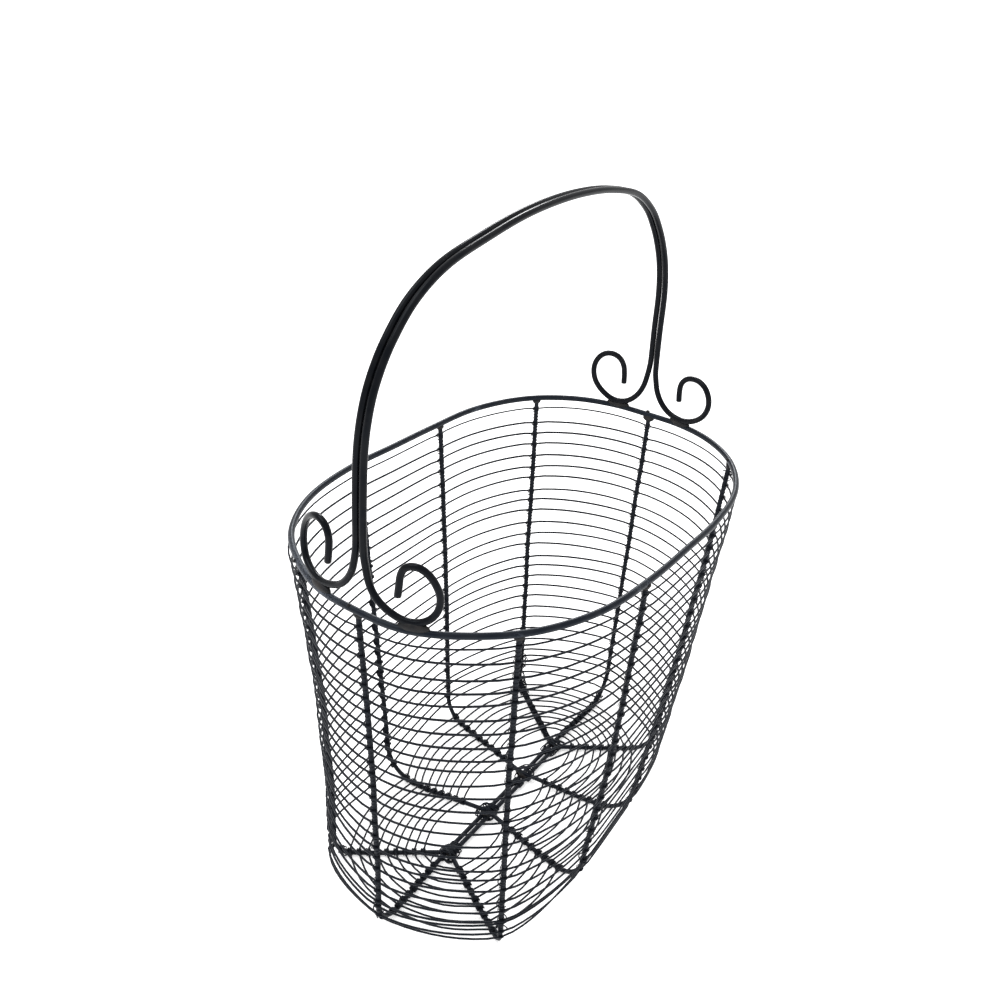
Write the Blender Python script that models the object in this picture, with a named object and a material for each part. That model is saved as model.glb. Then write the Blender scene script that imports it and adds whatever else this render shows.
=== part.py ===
"""Onion basket: an oval wire basket with a twin-rod handle that ends in four scrolls.

Ten uprights hang from a bent rim, turn in at the base and meet on a spine of two rods. One
fine wire is wound round the uprights from the rim down, and another round the floor. Metres,
+Z up, +X along the basket, and the origin on the floor under the middle of the basket.
"""
import math

import bmesh
import bpy
from mathutils import Vector

MM = 0.001

# Stock that the basket is made of
ROD_DIAMETER = 4.8 * MM
RIB_DIAMETER = 3.6 * MM
WIRE_DIAMETER = 1.3 * MM
CLEARANCE = 0.3 * MM

# The rim and the body that hangs from it
RIM_HALF_LENGTH = 185.0 * MM
RIM_HALF_WIDTH = 124.5 * MM
BODY_DEPTH = 277.5 * MM
BASE_HALF_LENGTH = 166.0 * MM
BASE_HALF_WIDTH = 100.0 * MM
BASE_BEND_RADIUS = 9.0 * MM
SOFT_BEND_RADIUS = 28.0 * MM
FOOT_LENGTH = 10.0 * MM
BELLY_DEPTH = 5.0 * MM
SPINE_RISE = 2.2 * MM
SPINE_BEND_RADIUS = 12.0 * MM

# The line along the basket that the spine and the handle lie on, beside the middle of the bent rim
MIDDLE_LINE = -1.4 * MM

# The handle and its scrolls, measured up from the middle of the rim rod
HANDLE_RISE = 204.5 * MM
HANDLE_INSET = 2.0 * MM
SCROLL_REACH = 50.0 * MM
SCROLL_HEIGHT = 47.0 * MM
SPLIT_HEIGHT = 50.0 * MM

# The fine windings
FIRST_COURSE_DEPTH = 8.5 * MM
COURSE_PITCH = 10.6 * MM
COURSE_WAVER = 1.2 * MM
SPLICE_LAP = 3.0 * MM
SPLICE_STEP = 1.6 * MM
FLOOR_WINDING_MARGIN = 4.0 * MM
FLOOR_WINDING_HEART = 27.0 * MM

# The wire ties on the spine and the welds under the scrolls
TIE_OFFSET = 9.0 * MM
TIE_PITCH = 1.9 * MM
WELD_LENGTH = 20.0 * MM
WELD_WIDTH = 6.0 * MM
WELD_HEIGHT = 6.6 * MM
WELD_INSET = 0.6 * MM

# Counts of turns, points and sides
COURSES_PER_LENGTH = 8
FLOOR_COURSES = 6
TIE_TURNS = 3
TIE_POINTS = 8
RIM_POINTS = 60
ROD_SIDES = 8
RIB_SIDES = 6
WIRE_SIDES = 6
TIE_SIDES = 4
BEND_STEPS = 5
BELLY_STEPS = 5
FINE_POINTS = 360
HALVINGS = 30

# Shares of a full turn: the waver's advance in one course, a gap wide enough for an extra point,
# and the reach to either side of an end of the rim that holds its scrolls
WAVER_TURN_SHARE = 0.334
WIDE_GAP_SHARE = 0.114
END_REACH_SHARE = 0.167

# How far the sides of the base are pulled straight between its corners
STRAIGHT_SHARE = 0.5

# Radius of the hand-bent rim at even steps round it from +X, as shares of a true ellipse
OVAL_SHARES = (0.984, 1.014, 1.057, 1.084, 1.059, 0.989, 0.971, 1.019, 1.066, 1.068, 1.036, 1.020,
               1.010, 1.035, 1.048, 1.065, 1.049, 0.996, 0.975, 1.010, 1.057, 1.062, 1.037, 1.004)

# Places of the uprights round the rim, as shares of a full turn from +X
UPRIGHT_TURN_SHARES = {
    "right_end": -0.003, "back_right": 0.113, "cross_right_back": 0.201, "cross_left_back": 0.283,
    "back_left": 0.4175, "left_end": 0.501, "front_left": 0.614, "cross_left_front": 0.7035,
    "cross_right_front": 0.788, "front_right": 0.879}

# Corners of the base under the uprights, as shares of its half length and half width
BASE_SHARES = {
    "right_end": (1.003, -0.008), "back_right": (0.808, 0.719), "cross_right_back": (0.354, 0.997),
    "cross_left_back": (-0.209, 0.911), "back_left": (-0.779, 0.702), "left_end": (-0.989, -0.015),
    "front_left": (-0.756, -0.777), "cross_left_front": (-0.268, -0.933),
    "cross_right_front": (0.250, -0.892), "front_right": (0.752, -0.698)}
SOFTLY_BENT = ("right_end", "cross_left_back")

# How far each upright is bent off straight at half its depth, along X and Y, as shares of the belly
BELLY_SHARES = {
    "right_end": (0.0, 0.0), "back_right": (-0.11, -0.15), "cross_right_back": (0.0, -0.27),
    "cross_left_back": (0.0, 0.0), "back_left": (0.78, -0.59), "left_end": (0.0, -0.64),
    "front_left": (0.16, 0.21), "cross_left_front": (0.0, -0.68), "cross_right_front": (0.11, -0.55),
    "front_right": (0.27, -0.27)}

# Where the spokes meet the spine, from the left end, as shares of the base's half length
JUNCTION_SHARES = (-0.487, -0.177, 0.155, 0.447)

# The handle's arch from left to right, as shares of its half span and of its rise
ARCH_SHARES = ((-1.000, 0.361), (-0.993, 0.499), (-0.969, 0.605), (-0.929, 0.690), (-0.861, 0.775),
               (-0.753, 0.861), (-0.597, 0.924), (-0.382, 0.962), (-0.185, 0.988), (0.012, 0.999),
               (0.211, 0.997), (0.414, 0.979), (0.628, 0.936), (0.775, 0.861), (0.866, 0.777),
               (0.928, 0.695), (0.971, 0.608), (0.995, 0.500), (0.995, 0.361))

# Each scroll from its cut end to the leg, by its end of X and its side of Y, as shares of the
# scrolls' reach and height
SCROLL_SHARES = {
    (-1, 1): ((0.498, 0.390), (0.472, 0.610), (0.468, 0.795), (0.523, 0.948), (0.641, 1.015),
              (0.778, 0.987), (0.912, 0.890), (1.026, 0.731), (1.102, 0.537), (1.126, 0.344),
              (1.084, 0.169), (0.979, 0.067), (0.821, 0.010), (0.631, 0.000), (0.442, 0.060),
              (0.278, 0.150), (0.156, 0.294), (0.071, 0.476), (0.028, 0.682), (0.006, 0.861)),
    (-1, -1): ((0.510, 0.355), (0.527, 0.545), (0.542, 0.698), (0.590, 0.821), (0.682, 0.876),
               (0.786, 0.859), (0.879, 0.771), (0.950, 0.631), (0.993, 0.474), (0.990, 0.305),
               (0.948, 0.169), (0.861, 0.058), (0.728, 0.000), (0.576, 0.008), (0.413, 0.067),
               (0.278, 0.145), (0.156, 0.268), (0.080, 0.439), (0.039, 0.629), (0.013, 0.791)),
    (1, 1): ((0.456, 0.389), (0.466, 0.598), (0.496, 0.760), (0.572, 0.880), (0.675, 0.940),
             (0.789, 0.943), (0.901, 0.877), (0.983, 0.734), (1.007, 0.559), (0.974, 0.372),
             (0.900, 0.230), (0.797, 0.114), (0.667, 0.026), (0.527, 0.000), (0.378, 0.040),
             (0.257, 0.134), (0.148, 0.284), (0.072, 0.474), (0.032, 0.683), (0.009, 0.862)),
    (1, -1): ((0.513, 0.355), (0.499, 0.557), (0.516, 0.720), (0.601, 0.842), (0.730, 0.898),
              (0.874, 0.896), (1.007, 0.825), (1.099, 0.685), (1.124, 0.518), (1.077, 0.346),
              (0.993, 0.216), (0.880, 0.109), (0.734, 0.027), (0.575, 0.000), (0.407, 0.032),
              (0.273, 0.115), (0.158, 0.255), (0.077, 0.432), (0.034, 0.625), (0.009, 0.789))}

# Sizes that follow from the ones above
ROD_RADIUS = ROD_DIAMETER / 2
RIB_RADIUS = RIB_DIAMETER / 2
WIRE_RADIUS = WIRE_DIAMETER / 2
RIB_FLAT_HEIGHT = RIB_RADIUS * math.cos(math.pi / RIB_SIDES)
RIM_Z = BODY_DEPTH + RIB_FLAT_HEIGHT
RIB_TOP_DEPTH = ROD_RADIUS + CLEARANCE
SPINE_OFFSET = RIB_RADIUS + CLEARANCE / 2
HANDLE_OFFSET = ROD_RADIUS + CLEARANCE / 2
WINDING_PROUD = RIB_RADIUS + CLEARANCE + WIRE_RADIUS
SCROLL_FOOT = 2 * ROD_RADIUS + CLEARANCE
SPINE_Z = RIB_FLAT_HEIGHT + SPINE_RISE
CROSS_Z = SPINE_Z + RIB_DIAMETER + CLEARANCE
JUNCTION_PLACES = [BASE_HALF_LENGTH * share for share in JUNCTION_SHARES]

# Which junction each spoke meets, and how many rod places beside the middle of the spine
JUNCTION_SEATS = {
    "left_end": (0, 1), "back_left": (0, 1), "front_left": (0, -1), "cross_left_back": (1, 2),
    "cross_left_front": (1, -2), "cross_right_back": (2, 2), "cross_right_front": (2, -2),
    "right_end": (3, 1), "back_right": (3, 1), "front_right": (3, -1)}


def clear_scene():
    """Remove every object, and start the collections for the basket and its cutters."""
    for thing in list(bpy.data.objects):
        bpy.data.objects.remove(thing, do_unlink=True)
    made = []
    for name in ("onion_basket", "cutters"):
        group = bpy.data.collections.new(name)
        bpy.context.scene.collection.children.link(group)
        made.append(group)
    return made


def painted_metal(name, colour, roughness, metallic):
    """One Principled material with the part's colour and finish."""
    paint = bpy.data.materials.new(name)
    paint.use_nodes = True
    shader = paint.node_tree.nodes["Principled BSDF"]
    shader.inputs["Base Color"].default_value = (*colour, 1.0)
    shader.inputs["Roughness"].default_value = roughness
    shader.inputs["Metallic"].default_value = metallic
    return paint


def smooth_between(before, start, end, after, share):
    """The point a share of the way from start to end on a smooth curve through four values."""
    square, cube = share * share, share ** 3
    return (before * (2 * square - share - cube) + start * (2 - 5 * square + 3 * cube)
            + end * (share + 4 * square - 3 * cube) + after * (cube - square)) / 2


def smooth_path(points, steps):
    """A smooth path through open points, with a number of steps between each two."""
    ends = [2 * points[0] - points[1]] + list(points) + [2 * points[-1] - points[-2]]
    path = []
    for index in range(len(points) - 1):
        for step in range(steps):
            path.append(smooth_between(*ends[index:index + 4], step / steps))
    return path + [points[-1]]


def oval_point(turn):
    """A point on the hand-bent oval of the rim before it is centred, a share of a turn from +X."""
    place = (turn % 1.0) * len(OVAL_SHARES)
    index = int(place)
    near = [OVAL_SHARES[(index + shift) % len(OVAL_SHARES)] for shift in (-1, 0, 1, 2)]
    share = smooth_between(*near, place - index)
    across = RIM_HALF_LENGTH * share * math.cos(math.tau * turn)
    return Vector((across, RIM_HALF_WIDTH * share * math.sin(math.tau * turn), 0.0))


def oval_middle():
    """The middle of the oval between its furthest points along X and along Y."""
    points = [oval_point(index / FINE_POINTS) for index in range(FINE_POINTS)]
    across, along = [point.x for point in points], [point.y for point in points]
    return Vector((min(across) + max(across), min(along) + max(along), 0.0)) / 2


RIM_PLACE = Vector((0.0, 0.0, RIM_Z)) - oval_middle()


def rim_point(turn):
    """A point on the middle of the rim rod, with the oval centred over the origin."""
    return oval_point(turn) + RIM_PLACE


def round_uprights(turn, table, straight):
    """A pair of shares read round the basket from a table that gives a pair at each upright."""
    names = sorted(UPRIGHT_TURN_SHARES, key=UPRIGHT_TURN_SHARES.get)
    places = [UPRIGHT_TURN_SHARES[name] for name in names]
    places.append(places[0] + 1.0)
    turn = (turn - places[0]) % 1.0 + places[0]
    index = max(place for place in range(len(names)) if places[place] <= turn)
    share = (turn - places[index]) / (places[index + 1] - places[index])
    near = [Vector(table[names[(index + shift) % len(names)]]) for shift in (-1, 0, 1, 2)]
    return smooth_between(*near, share).lerp(near[1].lerp(near[2], share), straight)


def base_point(turn):
    """A point on the outline of the base, which runs through the corners under the uprights."""
    across, along = round_uprights(turn, BASE_SHARES, STRAIGHT_SHARE)
    return Vector((BASE_HALF_LENGTH * across, BASE_HALF_WIDTH * along, RIM_Z - BODY_DEPTH))


def wall_point(turn, depth, proud=0.0):
    """A point on the bent wall, at a depth below the rim and a distance outside the uprights."""
    across, along = round_uprights(turn, BELLY_SHARES, 0.0)
    belly = BELLY_DEPTH * math.sin(math.pi * depth / BODY_DEPTH)
    point = rim_point(turn).lerp(base_point(turn), depth / BODY_DEPTH)
    point += Vector((belly * across, belly * along, 0.0))
    return point + wall_normal(turn, depth) * proud if proud else point


def wall_normal(turn, depth):
    """The level direction that points out of the wall, a share of a turn round and at a depth."""
    along = wall_point(turn + 1 / FINE_POINTS, depth) - wall_point(turn - 1 / FINE_POINTS, depth)
    return Vector((along.y, -along.x, 0.0)).normalized()


def filleted(corners, radii):
    """Replace each inner corner of a path by an arc of its radius."""
    path = [corners[0]]
    for before, corner, after, radius in zip(corners, corners[1:], corners[2:], radii):
        inward, outward = (before - corner).normalized(), (after - corner).normalized()
        half = inward.angle(outward) / 2
        if radius == 0.0 or half > math.radians(88.0):
            path.append(corner)
            continue
        centre = corner + (inward + outward).normalized() * (radius / math.sin(half))
        start = corner + inward * (radius / math.tan(half)) - centre
        end = corner + outward * (radius / math.tan(half)) - centre
        sweep = start.angle(end)
        for step in range(BEND_STEPS + 1):
            share = step / BEND_STEPS
            arc = (start * math.sin((1 - share) * sweep) + end * math.sin(share * sweep)) / math.sin(sweep)
            path.append(centre + arc)
    return path + [corners[-1]]


def tube(name, points, radius, sides, material, group, closed=False, upright=True):
    """A rod or wire along a path: a polyline curve with a round bevel and filled caps."""
    curve = bpy.data.curves.new(name, "CURVE")
    curve.dimensions = "3D"
    curve.twist_mode = "Z_UP" if upright else "MINIMUM"
    curve.bevel_depth = radius
    curve.bevel_resolution = (sides - 4) // 2
    curve.use_fill_caps = not closed
    spline = curve.splines.new("POLY")
    spline.points.add(len(points) - 1)
    for place, point in zip(spline.points, points):
        place.co = (*point, 1.0)
    spline.use_cyclic_u = closed
    spline.use_smooth = True
    curve.materials.append(material)
    made = bpy.data.objects.new(name, curve)
    group.objects.link(made)
    return made


def as_mesh(thing, group):
    """Turn a curve object into a closed mesh object of the same name."""
    bpy.context.view_layer.update()
    mesh = bpy.data.meshes.new_from_object(thing.evaluated_get(bpy.context.evaluated_depsgraph_get()))
    shape = bmesh.new()
    shape.from_mesh(mesh)
    bmesh.ops.remove_doubles(shape, verts=shape.verts, dist=CLEARANCE / 1000)
    shape.to_mesh(mesh)
    shape.free()
    made = bpy.data.objects.new(thing.name + "_shape", mesh)
    made.matrix_world = thing.matrix_world
    bpy.data.objects.remove(thing)
    group.objects.link(made)
    return made


def make_rim(material, group):
    """The heavy rod bent into the oval mouth of the basket."""
    points = [rim_point(index / RIM_POINTS) for index in range(RIM_POINTS)]
    return tube("rim", points, ROD_RADIUS, ROD_SIDES, material, group, closed=True)


def handle_path(side):
    """One handle rod from scroll to scroll: side is +1 at the back and -1 at the front."""
    span = RIM_HALF_LENGTH - HANDLE_INSET
    reach, lift = SCROLL_REACH - HANDLE_OFFSET, SCROLL_HEIGHT - SCROLL_FOOT
    legs = []
    for end in (-1, 1):
        shares = SCROLL_SHARES[(end, side)]
        scroll = [(HANDLE_OFFSET + reach * out, SCROLL_FOOT + lift * up) for out, up in shares]
        leg = []
        for out, up in scroll + [(HANDLE_OFFSET, SPLIT_HEIGHT)]:
            across = MIDDLE_LINE + side * out
            place = rim_point(rim_turn_at(across, end))
            setback = abs(rim_point(0.0 if end > 0 else 0.5).x) - abs(place.x)
            leg.append(Vector((end * (span - setback), across, RIM_Z + up)))
        legs.append(leg)
    arch = []
    for along, up in ARCH_SHARES:
        arch.append(Vector((span * along, MIDDLE_LINE + side * HANDLE_OFFSET, RIM_Z + HANDLE_RISE * up)))
    return legs[0] + smooth_path(arch, 2) + list(reversed(legs[1]))


def rim_turn_at(across, end):
    """The share of a turn where the rim lies at a distance across the basket, near one of its ends."""
    low, high = -END_REACH_SHARE, END_REACH_SHARE
    if end < 0:
        low, high = 0.5 - low, 0.5 - high
    for _ in range(HALVINGS):
        middle = (low + high) / 2
        if rim_point(middle).y < across:
            low = middle
        else:
            high = middle
    return (low + high) / 2


def make_handle_rod(name, side, material, group):
    """One of the two rods of the handle, with its two scrolls."""
    return tube(name, handle_path(side), ROD_RADIUS, ROD_SIDES, material, group, upright=False)


def upright_corners(name):
    """The corners of one upright: under the rim, at the base bend, past the foot and at the spine."""
    turn = UPRIGHT_TURN_SHARES[name]
    top, low = wall_point(turn, RIB_TOP_DEPTH), wall_point(turn, BODY_DEPTH)
    junction, seat = JUNCTION_SEATS[name]
    height = CROSS_Z if name.startswith("cross") else SPINE_Z
    end = Vector((JUNCTION_PLACES[junction], MIDDLE_LINE + seat * SPINE_OFFSET, height))
    run = Vector((end.x - low.x, end.y - low.y, 0.0)).normalized()
    foot = low + run * (bend_radius(name) + FOOT_LENGTH)
    return [top, low, foot, end]


def bent_upright(name):
    """The same corners, with the points between the first two where the upright is bent off straight."""
    top, low, foot, end = upright_corners(name)
    turn = UPRIGHT_TURN_SHARES[name]
    belly = [wall_point(turn, BODY_DEPTH * step / BELLY_STEPS) for step in range(1, BELLY_STEPS)]
    return [top] + belly + [low, foot, end]


def bend_radius(name):
    """The radius of an upright's bend at the base."""
    return SOFT_BEND_RADIUS if name in SOFTLY_BENT else BASE_BEND_RADIUS


def spoke_point(name, share):
    """A point on an upright's run along the floor, a share of the way from the base bend in."""
    top, low, foot, end = upright_corners(name)
    point = low.lerp(end, share)
    reach = (Vector((point.x, point.y)) - Vector((low.x, low.y))).length
    flat = (Vector((foot.x, foot.y)) - Vector((low.x, low.y))).length
    whole = (Vector((end.x, end.y)) - Vector((low.x, low.y))).length
    climb = max(0.0, (reach - flat) / (whole - flat))
    point.z = low.z + climb * (end.z - low.z)
    return point


def make_through_rib(name, first, last, material, group):
    """A rib that runs from the rim down one upright, over the floor and up another."""
    corners = bent_upright(first) + list(reversed(bent_upright(last)))
    straight = [0.0] * (BELLY_STEPS - 1)
    middle = SPINE_BEND_RADIUS if name == "front_corner_rib" else 0.0
    radii = straight + [bend_radius(first), 0.0, middle, middle, 0.0, bend_radius(last)] + straight
    return tube(name, filleted(corners, radii), RIB_RADIUS, RIB_SIDES, material, group)


def make_end_rib(name, upright, material, group):
    """A rib that runs down one upright and ends blunt against the side of the spine."""
    corners = bent_upright(upright)
    run = (corners[-1] - corners[-2]).normalized()
    stand_off = RIB_RADIUS + CLEARANCE + RIB_RADIUS * abs(run.x)
    corners[-1] = corners[-1] - run * (stand_off / abs(run.y))
    radii = [0.0] * (BELLY_STEPS - 1) + [bend_radius(upright), 0.0]
    return tube(name, filleted(corners, radii), RIB_RADIUS, RIB_SIDES, material, group)


def course_turns():
    """The places of one course of a winding: each upright, and a point or two before the next."""
    places = sorted(UPRIGHT_TURN_SHARES.values())
    turns = []
    for start, end in zip(places, places[1:] + [places[0] + 1.0]):
        steps = 3 if end - start > WIDE_GAP_SHARE else 2
        turns += [start + (end - start) * step / steps for step in range(steps)]
    return turns


def course_depth(courses):
    """The depth of the wall winding after a number of courses, with a hand's uneven spacing."""
    waver = COURSE_WAVER * math.sin(math.tau * WAVER_TURN_SHARE * courses)
    return FIRST_COURSE_DEPTH + COURSE_PITCH * courses + waver


def make_wall_winding(name, length_index, material, group):
    """One length of the fine wire, wound down the outside of the uprights."""
    first = length_index * COURSES_PER_LENGTH
    sag = length_index * SPLICE_STEP
    lap = SPLICE_LAP / RIM_HALF_WIDTH / math.tau
    start = UPRIGHT_TURN_SHARES["right_end"]
    points = [wall_point(start - lap, course_depth(first) + sag, WINDING_PROUD)]
    for course in range(COURSES_PER_LENGTH):
        for turn in course_turns():
            depth = course_depth(first + course + turn - start) + sag
            points.append(wall_point(turn, depth, WINDING_PROUD))
    depth = course_depth(first + COURSES_PER_LENGTH) + sag
    points += [wall_point(start, depth, WINDING_PROUD), wall_point(start + lap, depth, WINDING_PROUD)]
    report_least_gap(name, points, WIRE_DIAMETER, len(course_turns()) // 2)
    return tube(name, points, WIRE_RADIUS, WIRE_SIDES, material, group)


def make_floor_winding(name, material, group):
    """The fine wire that circles the spine on top of the spokes, from the foot inwards."""
    names = sorted(UPRIGHT_TURN_SHARES, key=UPRIGHT_TURN_SHARES.get)
    crossings = []
    for count in range(FLOOR_COURSES * len(names) + 1):
        upright = names[count % len(names)]
        top, low, foot, end = upright_corners(upright)
        whole = (Vector((end.x, end.y)) - Vector((low.x, low.y))).length
        outer = (bend_radius(upright) + FLOOR_WINDING_MARGIN) / whole
        inner = 1.0 - FLOOR_WINDING_HEART / whole
        share = outer + (inner - outer) * count / (FLOOR_COURSES * len(names))
        crossings.append(spoke_point(upright, share) + Vector((0.0, 0.0, WINDING_PROUD)))
    points = smooth_path(crossings, 2)
    report_least_gap(name, points, WIRE_DIAMETER, len(names))
    return tube(name, points, WIRE_RADIUS, WIRE_SIDES, material, group)


def report_least_gap(name, points, thickness, half_turn):
    """Print the least gap that a wound wire leaves to its own turns, half a turn on and further."""
    least = math.inf
    for index, point in enumerate(points):
        for other in range(index + half_turn, len(points) - 1):
            start, along = points[other], points[other + 1] - points[other]
            share = min(1.0, max(0.0, (point - start).dot(along) / along.length_squared))
            least = min(least, (point - start - along * share).length)
    print(f"{name}: least gap to itself {(least - thickness) / MM:.2f} mm")


def make_tie(name, middle, material, group):
    """A tie of fine wire wound round the two rods of the spine, half a turn round each of them."""
    round_rod = WINDING_PROUD / math.cos(math.pi / TIE_POINTS)
    points = []
    for index in range(TIE_TURNS * TIE_POINTS + 1):
        turns = index / TIE_POINTS
        angle = math.tau * (turns + 0.5 / TIE_POINTS)
        rod_place = math.copysign(SPINE_OFFSET, math.cos(angle))
        across = MIDDLE_LINE + rod_place + round_rod * math.cos(angle)
        along = middle + TIE_PITCH * (turns - TIE_TURNS / 2)
        points.append(Vector((along, across, SPINE_Z + round_rod * math.sin(angle))))
    report_least_gap(name, points, WIRE_DIAMETER, TIE_POINTS // 2)
    return tube(name, points, WIRE_RADIUS, TIE_SIDES, material, group, upright=False)


def make_weld(name, end, side, rim_rod, handle_rod, material, group, cutters):
    """The weld that fills the groove between the foot of a scroll and the rim."""
    foot = min((point for point in handle_path(side) if point.x * end > 0), key=lambda point: point.z)
    turn = rim_turn_at(foot.y, end)
    out = wall_normal(turn, 0.0)
    middle = rim_point(turn) - out * WELD_INSET + Vector((0.0, 0.0, SCROLL_FOOT / 2))
    bpy.ops.mesh.primitive_uv_sphere_add(segments=16, ring_count=8, radius=0.5)
    lump = bpy.context.object
    lump.name = name
    lump.data.name = name
    for vertex in lump.data.vertices:
        vertex.co = Vector((vertex.co.x * WELD_LENGTH, vertex.co.y * WELD_WIDTH, vertex.co.z * WELD_HEIGHT))
    lump.location = middle
    lump.rotation_euler.z = math.atan2(out.x, -out.y)
    for owner in list(lump.users_collection):
        owner.objects.unlink(lump)
    group.objects.link(lump)
    lump.data.materials.append(material)
    for cutter in (rim_rod, handle_rod):
        cut = lump.modifiers.new("clear of " + cutter.name, "BOOLEAN")
        cut.operation = "DIFFERENCE"
        cut.object = cutter
    return lump


def make_cutters(cutters, material):
    """Fatter copies of the rim and the handle rods, which cut the welds clear of them."""
    points = [rim_point(index / RIM_POINTS) for index in range(RIM_POINTS)]
    fat = ROD_RADIUS + CLEARANCE
    made = {"rim": tube("rim_cutter", points, fat, ROD_SIDES, material, cutters, closed=True)}
    for name, side in (("back", 1), ("front", -1)):
        rod = handle_path(side)
        made[name] = tube(name + "_cutter", rod, fat, ROD_SIDES, material, cutters, upright=False)
    for name in list(made):
        made[name] = as_mesh(made[name], cutters)
        made[name].hide_render = True
        made[name].display_type = "WIRE"
    return made


def main():
    """Build the whole basket."""
    basket, cutters = clear_scene()
    paint = painted_metal("black_paint", (0.012, 0.014, 0.018), 0.42, 0.3)
    wire_paint = painted_metal("black_wire", (0.016, 0.018, 0.022), 0.45, 0.3)
    weld_metal = painted_metal("painted_weld", (0.028, 0.026, 0.023), 0.6, 0.2)

    make_rim(paint, basket)
    make_handle_rod("handle_rod_back", 1, paint, basket)
    make_handle_rod("handle_rod_front", -1, paint, basket)
    make_through_rib("long_rib", "left_end", "right_end", paint, basket)
    make_through_rib("front_corner_rib", "front_left", "front_right", paint, basket)
    make_through_rib("cross_rib_left", "cross_left_back", "cross_left_front", paint, basket)
    make_through_rib("cross_rib_right", "cross_right_back", "cross_right_front", paint, basket)
    make_end_rib("back_left_rib", "back_left", paint, basket)
    make_end_rib("back_right_rib", "back_right", paint, basket)
    for index, name in enumerate(("wall_winding_upper", "wall_winding_middle", "wall_winding_lower")):
        make_wall_winding(name, index, wire_paint, basket)
    make_floor_winding("floor_winding", wire_paint, basket)
    for index, (place, way) in enumerate(zip(JUNCTION_PLACES, (1, 1, -1, -1))):
        make_tie(f"spine_tie_{index + 1}", place + way * TIE_OFFSET, wire_paint, basket)
    fat = make_cutters(cutters, paint)
    for end_name, end in (("left", -1), ("right", 1)):
        for side_name, side in (("back", 1), ("front", -1)):
            name = f"handle_weld_{end_name}_{side_name}"
            make_weld(name, end, side, fat["rim"], fat[side_name], weld_metal, basket, cutters)


main()
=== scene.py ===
"""Looks of the onion basket: hand-bent rods, wound wire, paint, studio light and camera.

Every piece lies over the solid that it stands for, in metres, +Z up and +X along the basket.
"""

import logging
import math
import random
from dataclasses import dataclass, field
from enum import Enum
from typing import Callable, Sequence, TypeVar

import bpy
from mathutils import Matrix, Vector, noise


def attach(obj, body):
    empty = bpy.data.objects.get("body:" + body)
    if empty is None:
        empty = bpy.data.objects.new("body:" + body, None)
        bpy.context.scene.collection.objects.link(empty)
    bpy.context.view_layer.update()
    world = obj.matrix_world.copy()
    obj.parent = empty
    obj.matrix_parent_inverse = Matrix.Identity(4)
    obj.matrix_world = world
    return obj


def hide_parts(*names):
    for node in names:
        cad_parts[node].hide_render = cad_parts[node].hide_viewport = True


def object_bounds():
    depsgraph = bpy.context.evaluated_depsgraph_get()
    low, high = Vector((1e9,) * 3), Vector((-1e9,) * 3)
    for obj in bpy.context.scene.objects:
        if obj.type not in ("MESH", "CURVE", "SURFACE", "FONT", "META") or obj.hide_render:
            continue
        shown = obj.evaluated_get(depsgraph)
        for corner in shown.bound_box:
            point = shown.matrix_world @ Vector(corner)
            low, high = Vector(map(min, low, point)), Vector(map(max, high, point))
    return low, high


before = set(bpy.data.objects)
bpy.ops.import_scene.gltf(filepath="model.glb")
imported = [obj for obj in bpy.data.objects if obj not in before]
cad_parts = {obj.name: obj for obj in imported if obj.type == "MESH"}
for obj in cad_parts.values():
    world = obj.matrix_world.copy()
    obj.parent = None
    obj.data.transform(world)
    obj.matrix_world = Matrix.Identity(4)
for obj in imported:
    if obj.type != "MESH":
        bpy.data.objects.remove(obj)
CAD_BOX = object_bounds()

LOG = logging.getLogger("onion_basket")
MM = 0.001
BODY = "root"
UP = Vector((0.0, 0.0, 1.0))
IMAGE_SIZE = 1000

# Steps of a full turn for measuring the rim, and halvings for a search along it
TURN_STEPS = 360
HALVINGS = 30

# The solids' ribs have six sides and rest on a flat one
SOLID_RIB_SIDES = 6

# Half of the angle at a corner that needs no bend
NEARLY_STRAIGHT = math.radians(88.0)

# A cut end's rounding: places along it, and the shares of the radius there
END_PLACES = (0.0, 0.35, 1.0)
END_SHARES = (0.72, 0.92, 1.0)


class Slot(Enum):
    """The record's material slots."""

    PAINT = "black_paint"
    WIRE = "black_wire"
    WELD = "painted_weld"


class End(Enum):
    """An end of the basket along X."""

    LEFT = -1
    RIGHT = 1


class Side(Enum):
    """A side of the basket along Y."""

    FRONT = -1
    BACK = 1


# Shader expressions


class Signal:
    """A shader socket whose Python operators add Math nodes."""

    def __init__(self, mixer: "Mixer", socket: bpy.types.NodeSocket) -> None:
        """Wrap an output socket of the mixer's nodes."""
        self.mixer = mixer
        self.socket = socket

    def __add__(self, other: "Signal | float") -> "Signal":
        """Return the sum."""
        return self.mixer.maths("ADD", self, other)

    def __sub__(self, other: "Signal | float") -> "Signal":
        """Return the difference."""
        return self.mixer.maths("SUBTRACT", self, other)

    def __rsub__(self, other: float) -> "Signal":
        """Return the difference from a plain number."""
        return self.mixer.maths("SUBTRACT", other, self)

    def __mul__(self, other: "Signal | float") -> "Signal":
        """Return the product."""
        return self.mixer.maths("MULTIPLY", self, other)

    __radd__ = __add__
    __rmul__ = __mul__

    def above(self, low: float, high: float) -> "Signal":
        """Return a smooth mask: 0 at the low value and 1 at the high one."""
        ramp = self.mixer.node("ShaderNodeMapRange", {"interpolation_type": "SMOOTHSTEP"},
                               {"Value": self, "From Min": low, "From Max": high})
        return Signal(self.mixer, ramp.outputs["Result"])


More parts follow.
